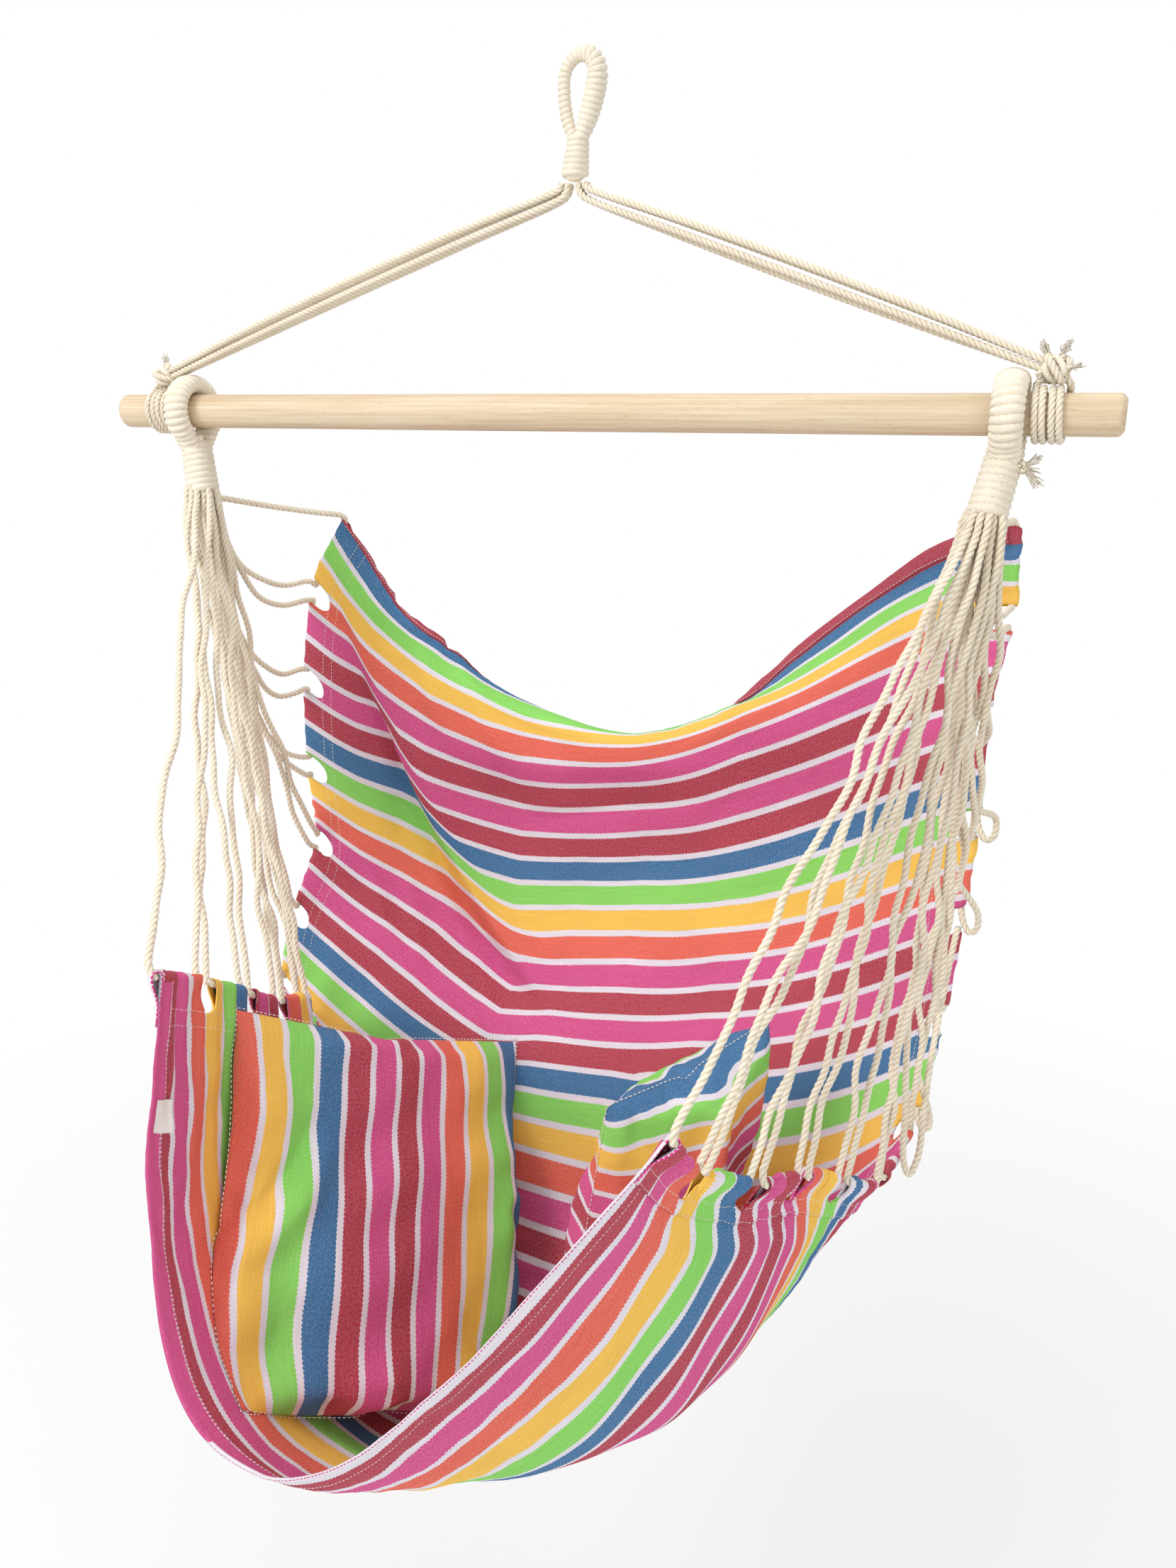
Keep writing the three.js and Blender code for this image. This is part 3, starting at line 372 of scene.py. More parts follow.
def unit(vector: Points) -> Points:
    """The vector, or each row of vectors, at length 1."""
    return vector / np.maximum(np.linalg.norm(vector, axis=-1, keepdims=True), 1e-12)


def along(line: Points) -> Points:
    """The length from a line's start to each of its points."""
    steps = np.linalg.norm(np.diff(line, axis=0), axis=1)
    return np.concatenate([[0.0], np.cumsum(steps)])


def picked(table: Points, keys: Sequence, wanted: Points) -> Points:
    """Reads a table between its rows.

    Args:
        table: the rows.
        keys: each row's key, in rising order.
        wanted: the keys to read at.

    Returns:
        A row for each wanted key.
    """
    return np.stack([np.interp(wanted, keys, column) for column in table.T], axis=1)


def eased(share: Any) -> Any:
    """A share from 0 to 1, eased at both ends."""
    return share * share * (3 - 2 * share)


def even(line: Points, step: float) -> Points:
    """Puts points on a line at even steps.

    Args:
        line: the line's points.
        step: the wanted step in metres.

    Returns:
        The new points, from the same start to the same end.
    """
    lengths = along(line)
    return picked(line, lengths, np.linspace(0, lengths[-1], max(2, round(lengths[-1] / step) + 1)))


def curved(line: Points, step: float) -> Points:
    """Runs a smooth curve through a line's points.

    Args:
        line: a few points, each with any number of values, the first three of them its place.
        step: the step between the curve's points, in metres.

    Returns:
        The curve's points.
    """
    padded = np.vstack([2 * line[0] - line[1], line, 2 * line[-1] - line[-2]])
    spans = np.linalg.norm(np.diff(padded[:, :3], axis=0), axis=1)
    knots = np.concatenate([[0.0], np.cumsum(np.sqrt(spans) + 1e-9)])
    out = []
    for i in range(1, len(padded) - 2):
        p0, p1, p2, p3 = padded[i - 1:i + 3]
        k0, k1, k2, k3 = knots[i - 1:i + 3]
        steps = max(2, math.ceil(np.linalg.norm(p2[:3] - p1[:3]) / step))
        k = np.linspace(k1, k2, steps, endpoint=False)[:, None]
        a1 = (k1 - k) / (k1 - k0) * p0 + (k - k0) / (k1 - k0) * p1
        a2 = (k2 - k) / (k2 - k1) * p1 + (k - k1) / (k2 - k1) * p2
        a3 = (k3 - k) / (k3 - k2) * p2 + (k - k2) / (k3 - k2) * p3
        b1 = (k2 - k) / (k2 - k0) * a1 + (k - k0) / (k2 - k0) * a2
        b2 = (k3 - k) / (k3 - k1) * a2 + (k - k1) / (k3 - k1) * a3
        out.append((k2 - k) / (k2 - k1) * b1 + (k - k1) / (k2 - k1) * b2)
    return np.vstack(out + [line[-1:]])


def beside(line: Points, s: Points, v: Points) -> tuple[Points, Points]:
    """Measures flat points against a flat line.

    Args:
        line: the line's points.
        s: the points' first coordinates.
        v: the points' second coordinates.

    Returns:
        The distance from the line, positive on its left as V grows downwards, and the share along it.
    """
    lengths = along(line)
    best = np.full(np.broadcast(s, v).shape, np.inf)
    signed, place = np.zeros_like(best), np.zeros_like(best)
    for a, run, start in zip(line, np.diff(line, axis=0), lengths):
        q = np.clip(((s - a[0]) * run[0] + (v - a[1]) * run[1]) / (run @ run), 0, 1)
        dx, dy = s - a[0] - q * run[0], v - a[1] - q * run[1]
        distance = np.hypot(dx, dy)
        near = distance < best
        signed = np.where(near, np.sign(dx * run[1] - dy * run[0]) * distance, signed)
        place = np.where(near, start + q * np.linalg.norm(run), place)
        best = np.minimum(best, distance)
    return signed, place / lengths[-1]


def middle_line(node: str) -> Points:
    """Reads the middle line of a six-sided CAD rope, ring by ring from one end.

    Args:
        node: the CAD node's name.

    Returns:
        The middle of each ring, in order.
    """
    work = bmesh.new()
    work.from_mesh(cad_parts[node].data)
    bmesh.ops.remove_doubles(work, verts=work.verts, dist=2e-6)
    joined = {v: {e.other_vert(v) for e in v.link_edges} for v in work.verts}
    # Three corners of each end have four edges, and the other three lie between them
    few = [v for v in work.verts if len(joined[v]) == 4]
    ring = {v for v in few if joined[v] & joined[few[0]]}
    ring |= {v for v in work.verts if len(joined[v] & ring) > 1}
    seen = set(ring)
    line = []
    while ring:
        line.append(np.mean([v.co for v in ring], axis=0))
        ring = set().union(*(joined[v] for v in ring)) - seen
        seen |= ring
    work.free()
    return np.array(line)


def wind(
    spine: Points,
    wide: Points,
    reach_wide: Points,
    reach_deep: Points,
    pitch: float,
    start: float = 0.0,
    steps: int = 22,
) -> Points:
    """Winds a line round a spine.

    Args:
        spine: points of the spine, at even steps.
        wide: one direction square to the spine, for each point.
        reach_wide: how far the winding lies out along wide, for each point.
        reach_deep: how far it lies out along the other direction.
        pitch: the spine's length for each turn.
        start: the first turn's angle.
        steps: points for each turn.

    Returns:
        The winding's points.
    """
    lengths = along(spine)
    turns = lengths[-1] / pitch
    angle = np.linspace(0, turns * TAU, max(3, round(turns * steps)))
    place = angle / TAU * pitch
    centre = picked(spine, lengths, place)
    ahead = unit(picked(np.gradient(spine, axis=0), lengths, place))
    side = picked(wide, lengths, place)
    side = unit(side - ahead * np.sum(side * ahead, axis=1, keepdims=True))
    other = np.cross(ahead, side)
    a = np.interp(place, lengths, reach_wide)
    b = np.interp(place, lengths, reach_deep)
    turn = angle + start
    return centre + side * (a * np.cos(turn))[:, None] + other * (b * np.sin(turn))[:, None]


# Finishes


@dataclass(frozen=True)
class CottonCord:
    """Undyed cotton, spun and laid in three strands: matt, cream, with yarns that run nearly straight."""

    name: str = "laid_cotton_cord"
    bloom: str = "FFF6E4"
    # The colour of the painted shade in the grooves between the strands, which the soil patches also tint
    # towards
    groove: str = "D2BE98"
    lay: float = 0.0165
    yarns: int = 17
    roughness: float = 0.95

    def build(self) -> Material:
        """Builds the material from the cord's own attributes.

        Returns:
            The finished material.
        """
        material, tree, shader = start_material(self.name)
        around, length, groove = (
            add_node(tree, "ShaderNodeAttribute", attribute_name=f"cord_{name}").outputs
            for name in ("round", "length", "groove")
        )
        x, y, _ = add_node(tree, SPLIT, (around["Vector"],)).outputs
        twist = add_node(tree, MATH, (length["Fac"], TAU / self.lay), operation="MULTIPLY")
        angle = add_node(tree, MATH, (y, x), operation="ARCTAN2")
        turned = add_node(tree, MATH, (angle, twist), operation="ADD")
        yarn = add_node(tree, MATH, (turned, float(self.yarns)), operation="MULTIPLY")
        place = add_node(tree, "ShaderNodeTexCoord").outputs["Object"]
        fuzz = add_node(tree, NOISE, {"Vector": place, "Scale": 900.0, "Detail": 3.0})
        phase = add_node(tree, MATH, (fuzz, 2.4, yarn), operation="MULTIPLY_ADD")
        wave = add_node(tree, MATH, (phase,), operation="SINE")
        # Yarns of 1 mm, pressed flat in the lay
        height = add_node(tree, MATH, (wave, 0.5, fuzz), operation="MULTIPLY_ADD")
        bump = add_node(tree, BUMP, {"Strength": 0.55, "Distance": 0.0004, "Height": height})
        # Painted shade: the grooves between the strands take the darker groove colour, and random soil
        # patches darken towards it as well
        patches = add_node(tree, NOISE, {"Vector": place, "Scale": 22.0, "Detail": 2.0})
        soil = add_node(tree, MATH, (patches, 0.5, -0.17), operation="MULTIPLY_ADD", use_clamp=True)
        depth = add_node(tree, RANGE, (groove["Fac"], -1.0, 0.1, 1.0, 0.0))
        share = add_node(tree, MATH, (depth, 0.75, soil), operation="MULTIPLY_ADD", use_clamp=True)
        colour_mix = {0: share, 6: linear(self.bloom), 7: linear(self.groove)}
        colour = add_node(tree, MIX, colour_mix, data_type="RGBA").outputs[2]
        paint(tree, shader, colour, bump, self.roughness, specular=0.2, sheen=0.15)
        return material


@dataclass(frozen=True)
class StripedCanvas:
    """Yarn-dyed cotton canvas: plain woven, matt, with the white cross yarn showing as flecks."""

    name: str
    pitch: float = 0.033
    colour_share: float = 0.76
    cross_yarn: float = 0.0021
    fleck_pitch: float = 0.0017
    colours: tuple[str, ...] = (
        "146A9E", "84DA4E", "FAC437", "EA5C3E", "D83E88", "B41E3A", "D83E88", "B41E3A",
    )
    white: str = "E9E3EC"
    hem: str = "B01F3A"

    def build(self) -> Material:
        """Builds the weave from the cloth's own UV map, whose U runs along the stripes, in metres.

        Returns:
            The finished material.
        """
        material, tree, shader = start_material(self.name)
        cloth = add_node(tree, "ShaderNodeUVMap", uv_map="cloth").outputs[0]
        u, v, _ = add_node(tree, SPLIT, (cloth,)).outputs
        drift, specks, shades = (
            add_node(tree, NOISE, {"Vector": cloth, "Scale": scale, "Detail": detail})
            for scale, detail in ((260.0, 2.0), (420.0, 3.0), (9.0, 3.0))
        )
        # Each cross yarn pulls the stripe's edge a little to and fro, which makes its teeth
        wander = add_node(tree, MATH, (drift, 0.0011, v), operation="MULTIPLY_ADD")
        teeth = add_node(tree, MATH, (u, self.cross_yarn), operation="PINGPONG")
        edge = add_node(tree, MATH, (teeth, 0.55, wander), operation="MULTIPLY_ADD")
        repeat = len(self.colours)
        repeats = add_node(tree, MATH, (edge, repeat * self.pitch), operation="DIVIDE")
        part = add_node(tree, MATH, (repeats,), operation="FRACT")
        ramp = add_node(tree, "ShaderNodeValToRGB", {0: part})
        ramp.color_ramp.interpolation = "CONSTANT"
        stops = ramp.color_ramp.elements
        places = [(k + start) / repeat for k in range(repeat) for start in (0.0, self.colour_share)]
        paints = [linear(c) for colour in self.colours for c in (colour, self.white)]
        while len(stops) < len(places):
            stops.new(0.999)
        for stop, place, dye in zip(stops, places, paints):
            stop.position = place
            stop.color = dye
        in_hem = add_node(tree, MATH, (v, 0.0), operation="LESS_THAN")
        colour_mix = {0: in_hem, 6: ramp, 7: linear(self.hem)}
        dyed = add_node(tree, MIX, colour_mix, data_type="RGBA").outputs[2]
        # Flecks of the white cross yarn, one for each crossing, some of them stronger
        crests = []
        for way in (u, v):
            turned = add_node(tree, MATH, (way, TAU / self.fleck_pitch), operation="MULTIPLY")
            crests.append(add_node(tree, MATH, (turned,), operation="COSINE"))
        weave = add_node(tree, MATH, crests, operation="MULTIPLY")
        fleck = add_node(tree, MATH, (specks, 1.5, weave), operation="MULTIPLY_ADD")
        strong = add_node(tree, RANGE, (fleck, 0.85, 1.7, 0.0, 0.5))
        colour_mix = {0: strong, 6: dyed, 7: linear(self.white)}
        flecked = add_node(tree, MIX, colour_mix, data_type="RGBA").outputs[2]
        # Slubs are thick runs of yarn along the stripe, 60 mm long and 1 mm wide
        long_way = add_node(tree, "ShaderNodeMapping", {"Vector": cloth, "Scale": (18.0, 700.0, 1.0)})
        slub = add_node(tree, NOISE, {"Vector": long_way, "Scale": 1.0, "Detail": 2.0})
        tone = add_node(tree, MATH, (slub, 0.34, 0.77), operation="MULTIPLY_ADD")
        tone = add_node(tree, MATH, (shades, 0.12, tone), operation="MULTIPLY_ADD")
        height = add_node(tree, MATH, (slub, 1.6, weave), operation="MULTIPLY_ADD")
        bump = add_node(tree, BUMP, {"Strength": 0.5, "Distance": 0.00035, "Height": height})
        toned = add_node(tree, VECTOR, {0: flecked, 3: tone}, operation="SCALE").outputs[0]
        paint(tree, shader, toned, bump, roughness=0.9, specular=0.1, sheen=0.03)
        return material


@dataclass(frozen=True)
class SandedBeech:
    """Turned beech, sanded and left raw: pale, straight in the grain, with short darker flecks."""

    name: str = "sanded_beech"
    light: str = "E2D0B4"
    dark: str = "C6AB86"
    fleck: str = "A07C54"

    def build(self) -> Material:
        """Builds the grain along X, with growth lines about 3 mm apart.

        Returns:
            The finished material.
        """
        material, tree, shader = start_material(self.name)
        place = add_node(tree, "ShaderNodeTexCoord").outputs["Object"]
        layers = []
        for scale, detail, roughness in (
            ((1.6, 40.0, 40.0), 4.0, 0.5),
            ((7.0, 330.0, 330.0), 5.0, 0.6),
            ((90.0, 900.0, 900.0), 1.0, 0.5),
        ):
            stretched = add_node(tree, "ShaderNodeMapping", {"Vector": place, "Scale": scale})
            sizes = {"Vector": stretched, "Scale": 1.0, "Detail": detail, "Roughness": roughness}
            layers.append(add_node(tree, NOISE, sizes))
        drift, lines, pores = layers
        grain = add_node(tree, MATH, (drift, 0.9, lines), operation="MULTIPLY_ADD")
        share = add_node(tree, RANGE, (grain, 0.72, 1.2))
        stains = {0: share, 6: linear(self.light), 7: linear(self.dark)}
        wood = add_node(tree, MIX, stains, data_type="RGBA").outputs[2]
        strong = add_node(tree, RANGE, (pores, 0.66, 0.78, 0.0, 0.5))
        stains = {0: strong, 6: wood, 7: linear(self.fleck)}
        flecked = add_node(tree, MIX, stains, data_type="RGBA").outputs[2]
        bump = add_node(tree, BUMP, {"Strength": 0.25, "Distance": 0.0003, "Height": lines})
        paint(tree, shader, flecked, bump, roughness=0.55)
        return material


@dataclass(frozen=True)
class PlainThread:
    """A smooth spun yarn or tape in one colour, with fine ribs."""

    name: str
    colour: str
    ribs: float = 0.0006
    roughness: float = 0.7

    def build(self) -> Material:
        """Builds the material from one fine noise on Object coordinates.

        Returns:
            The finished material.
        """
        material, tree, shader = start_material(self.name)
        place = add_node(tree, "ShaderNodeTexCoord").outputs["Object"]
        spun = add_node(tree, NOISE, {"Vector": place, "Scale": 1 / self.ribs, "Detail": 2.0})
        tone = add_node(tree, RANGE, (spun, 0.2, 0.8, 0.9, 1.06))
        bump = add_node(tree, BUMP, {"Strength": 0.3, "Distance": 0.0002, "Height": spun})
        toned = add_node(tree, VECTOR, {0: linear(self.colour)[:3], 3: tone}, operation="SCALE").outputs[0]
        paint(tree, shader, toned, bump, self.roughness)
        return material


# Laid cord


@dataclass(frozen=True)
class Cord:
    """One size of three-strand cord."""

    diameter: float
    lay: float = 0.0165
    sides: int = 12
    step: float = 0.0017
    lobe: float = 0.13

    @staticmethod
    def tree() -> Tree:
        """The node tree that turns a line of edges into laid cord, made once.

        Returns:
            The tree, whose named inputs are the cord's sizes and its material.
        """
        made = bpy.data.node_groups.get("laid_cord")
        if made:
            return made
        sizes = dict.fromkeys(("Diameter", "Lay", "Step", "Lobe"), "Float")
        tree, given = start_tree("laid_cord", {**sizes, "Sides": "Int", "Finish": "Material"})
        curve = add_node(tree, "GeometryNodeMeshToCurve", {0: given["Line"]}).outputs[0]
        fine = add_node(
            tree, "GeometryNodeResampleCurve", {"Curve": curve, "Length": given["Step"]}, mode="LENGTH"
        )
        length = add_node(tree, "GeometryNodeSplineParameter").outputs["Length"]
        keep = add_node(tree, "GeometryNodeCaptureAttribute", {0: fine.outputs[0]})
        keep.capture_items.new("FLOAT", "length")
        tree.links.new(length, keep.inputs["length"])
        turns = add_node(tree, MATH, (length, given["Lay"]), operation="DIVIDE")
        tilt = add_node(tree, MATH, (turns, TAU), operation="MULTIPLY")
        laid = add_node(tree, "GeometryNodeSetCurveTilt", {"Curve": keep.outputs[0], "Tilt": tilt})
        radius = add_node(tree, MATH, (given["Diameter"], 0.5), operation="MULTIPLY")
        circle = add_node(
            tree, "GeometryNodeCurvePrimitiveCircle", {"Resolution": given["Sides"], "Radius": radius}
        )
        around = add_node(tree, "GeometryNodeInputPosition").outputs[0]
        direction = add_node(tree, VECTOR, (around,), operation="NORMALIZE").outputs[0]
        x, y, _ = add_node(tree, SPLIT, (direction,)).outputs
        angle = add_node(tree, MATH, (y, x), operation="ARCTAN2")
        thrice = add_node(tree, MATH, (angle, 3.0), operation="MULTIPLY")
        strand = add_node(tree, MATH, (thrice,), operation="COSINE")
        # The groove value sets the painted shade in the cord's grooves, and a cord pressed smooth shows its
        # grooves less
        ease = add_node(tree, MATH, (given["Lobe"], 0.06), operation="DIVIDE", use_clamp=True)
        below = add_node(tree, MATH, (strand, 1.0), operation="SUBTRACT")
        shade = add_node(tree, MATH, (below, ease, 1.0), operation="MULTIPLY_ADD").outputs[0]
        mark = add_node(tree, "GeometryNodeCaptureAttribute", {0: circle.outputs[0]})
        for kind, key, value in (("FLOAT", "groove", shade), ("VECTOR", "round", direction)):
            mark.capture_items.new(kind, key)
            tree.links.new(value, mark.inputs[key])
        # Each strand is a fuller arc than a sine, so the grooves between them are narrow
        above = add_node(tree, MATH, (strand, 1.0), operation="ADD")
        half = add_node(tree, MATH, (above, 0.5), operation="MULTIPLY")
        full = add_node(tree, MATH, (half, 0.5), operation="POWER")
        short = add_node(tree, MATH, (full, 1.0), operation="SUBTRACT")
        swell = add_node(tree, MATH, (short, given["Lobe"]), operation="MULTIPLY")
        twice = add_node(tree, MATH, (swell, 2.0), operation="MULTIPLY")
        offset = add_node(tree, VECTOR, {0: around, 3: twice}, operation="SCALE")
        section = add_node(tree, "GeometryNodeSetPosition", {"Geometry": mark.outputs[0], "Offset": offset})
        made = add_node(
            tree,
            "GeometryNodeCurveToMesh",
            {"Curve": laid.outputs[0], "Profile Curve": section.outputs[0], "Fill Caps": True},
        ).outputs[0]
        for key, kind, value in (
            ("cord_length", "FLOAT", keep.outputs[1]),
            ("cord_groove", "FLOAT", mark.outputs[1]),
            ("cord_round", "FLOAT_VECTOR", mark.outputs[2]),
        ):
            made = add_node(
                tree,
                "GeometryNodeStoreNamedAttribute",
                {"Geometry": made, "Name": key, "Value": value},
                data_type=kind,
                domain="POINT",
            ).outputs[0]
        end_tree(tree, made, given["Finish"])
        return tree

    def lay_along(self, name: str, lines: Sequence[Points], material: Material) -> Piece:
        """Lays cord along some lines.

        Args:
            name: the piece's name.
            lines: the middle line of each length of cord.
            material: the cord's finish.

        Returns:
            One plain mesh with every length of cord.
        """
        values = {
            "Diameter": self.diameter,
            "Lay": self.lay,
            "Step": self.step,
            "Lobe": self.lobe,
            "Sides": self.sides,
            "Finish": material,
        }
        return run_tree(name, lines, self.tree(), values)


YARN = Cord(0.0010, lay=0.006, sides=5, step=0.002, lobe=0.0)


def frayed(root: Points, tip: Points, yarns: int, seed: int) -> list[Points]:
    """Cotton yarns that fan out from a cut end.

    Args:
        root: where the yarns leave the cord.
        tip: about where they end.
        yarns: how many.
        seed: the draw's seed.

    Returns:
        One line for each yarn.
    """
    rng = np.random.default_rng(seed)
    fan = np.linalg.norm(tip - root) * 0.2
    lines = []
    for _ in range(yarns):
        end = tip + rng.normal(0, fan, 3)
        bend = (root + end) / 2 + rng.normal(0, fan * 0.3, 3)
        base = root + rng.normal(0, 0.0014, 3)
        lines.append(curved(np.array([base, bend, end]), 0.002))
    return lines


# The spreader bar


@dataclass
class SpreaderBar:
    """The turned pole that keeps the chair open."""

    length: float = 1.0
    diameter: float = 0.034
    chamfer: float = 0.004
    drop: float = 0.289
    offset: float = 0.0335
    sides: int = 72

    @property
    def left(self) -> float:
        """X of the left end."""
        return -self.offset - self.length / 2

    @property
    def right(self) -> float:
        """X of the right end."""
        return -self.offset + self.length / 2

    @property
    def middle(self) -> Points:
        """The middle of the bar's axis."""
        return np.array([-self.offset, 0.0, -self.drop])

    def build(self, finish: Material) -> None:
        """Turns the pole and puts it in place of its CAD solid.

        Args:
            finish: the wood.
        """
        radius = self.diameter / 2
        rng = np.random.default_rng(4)
        cut = self.chamfer
        shares = ((0.0, 1.25), (0.12, 0.98), (0.5, 0.48), (0.92, 0.1))
        corner = [(cut * x, radius - cut * r) for x, r in shares] + [(cut * 1.35, radius - 0.00004)]
        body = [(x, radius) for x in np.linspace(cut * 2, self.length - cut * 2, 90)]
        profile = corner + body + [(self.length - x, r) for x, r in reversed(corner)]
        turn = np.arange(self.sides) / self.sides * TAU
        rings = []
        # The lathe and the sanding leave the pole a tenth of a millimetre off round
        for x, r in profile:
            wobble = 0.00012 * np.sin(2 * turn + 9 * x) * math.sin(5 * x) - 0.00012
            reach = r + wobble + rng.normal(0, 0.00001, self.sides)
            y, z = reach * np.cos(turn), reach * np.sin(turn) - self.drop
            rings.append(np.stack([np.full(self.sides, self.left + x), y, z], axis=1))
        dress(loft("bar_pole", rings), finish, "bar", Body.SUSPENSION, "spreader_bar")


# The hanging eye and the suspension


@dataclass
class HangingEye:
    """The rope eye that goes on the hook, served from end to end with fine cord."""

    height: float = 0.046
    rope: float = 0.0184
    neck_start: float = 0.062
    neck_end: float = 0.0944
    lean: float = 0.007
    neck_core: float = 0.0128
    neck_flare: float = 0.0186
    serving: float = 0.0042
    pitch: float = 0.0047
    # The rope's middle line and thickness, in shares of the eye's height and rope
    shares = np.array(
        [
            [-0.11, -1.43, 0.44],
            [-0.17, -1.27, 0.54],
            [-0.26, -1.06, 0.60],
            [-0.32, -0.82, 0.62],
            [-0.355, -0.5, 0.62],
            [-0.34, -0.2, 0.60],
            [-0.235, 0.02, 0.64],
            [0.0, 0.147, 0.73],
            [0.225, 0.07, 0.86],
            [0.325, -0.13, 0.96],
            [0.31, -0.37, 1.0],
            [0.25, -0.61, 1.0],
            [0.165, -0.86, 0.98],
            [0.07, -1.09, 0.88],
            [-0.02, -1.28, 0.74],
            [-0.075, -1.44, 0.6],
        ]
    )

    def neck_at(self, drop: Points) -> Points:
        """The neck's axis at some drops below the origin."""
        share = np.interp(drop, [self.neck_start, self.neck_end], [0.45, 1.0])
        return np.stack([-self.lean * share, np.zeros_like(drop), -drop], axis=-1)

    def build(self, finish: Material) -> None:
        """Builds the eye's core and the cord served round it.

        Args:
            finish: the cotton.
        """
        x, z, thick = self.shares.T
        spine = np.stack([x * self.height, 0 * x, z * self.height, thick * self.rope / 2], axis=1)
        spine = even(curved(spine, 0.002), 0.001)
        depth = np.tile([0.0, 1.0, 0.0], (len(spine), 1))
        core_reach = np.maximum(spine[:, 3] - self.serving * 0.75, 0.001)
        cord = Cord(self.serving * 1.5, lay=0.012, step=0.0016, lobe=0.03)
        reach = core_reach + self.serving * 0.05
        loop = wind(spine[:, :3], depth, reach, reach, self.pitch, steps=20)
        drops = np.arange(self.neck_start - 0.004, self.neck_end - 0.0048, 0.001)
        neck = self.neck_at(drops)
        core = np.interp(drops, [self.neck_start, self.neck_end], [self.neck_core, self.neck_flare]) / 2
        wide = np.tile([1.0, 0.0, 0.0], (len(drops), 1))
        flat = np.interp(drops, [self.neck_start, self.neck_start + 0.012], [0.86, 1.0])
        served = wind(neck, wide, core + self.serving * 0.15, (core + self.serving * 0.15) * flat, self.pitch)
        pieces = cord.lay_along("hanging_eye_serving", [loop, served], finish)
        dress(pieces, finish, "eye_rope", Body.EYE, "hanging_eye_whipping")
        turn = np.arange(20) / 20 * TAU
        rings = []
        ahead = unit(np.gradient(spine[:, :3], axis=0))
        for i in range(0, len(spine), 2):
            inward = np.cross(depth[i], ahead[i])
            circle = np.outer(np.cos(turn), inward) + np.outer(np.sin(turn), depth[i])
            rings.append(spine[i, :3] + core_reach[i] * circle)
        dress(loft("hanging_eye_core", rings), finish, "eye_rope", Body.EYE, "hanging_eye")
        rings = []
        # The neck's end is a dome, so the ropes under it can swing
        dome = [(0.0036, 0.9), (0.0024, 0.72), (0.0014, 0.45), (0.0008, 0.15)]
        ends = [(self.neck_end - up, core[-1] * part) for up, part in dome]
        for drop, reach in list(zip(drops[::3], core[::3])) + ends:
            centre = self.neck_at(np.array([drop]))[0]
            rings.append(centre + reach * 1.02 * np.stack([np.cos(turn), np.sin(turn), 0 * turn], axis=1))
        dress(loft("hanging_eye_neck", rings), finish, "eye_rope", Body.EYE)


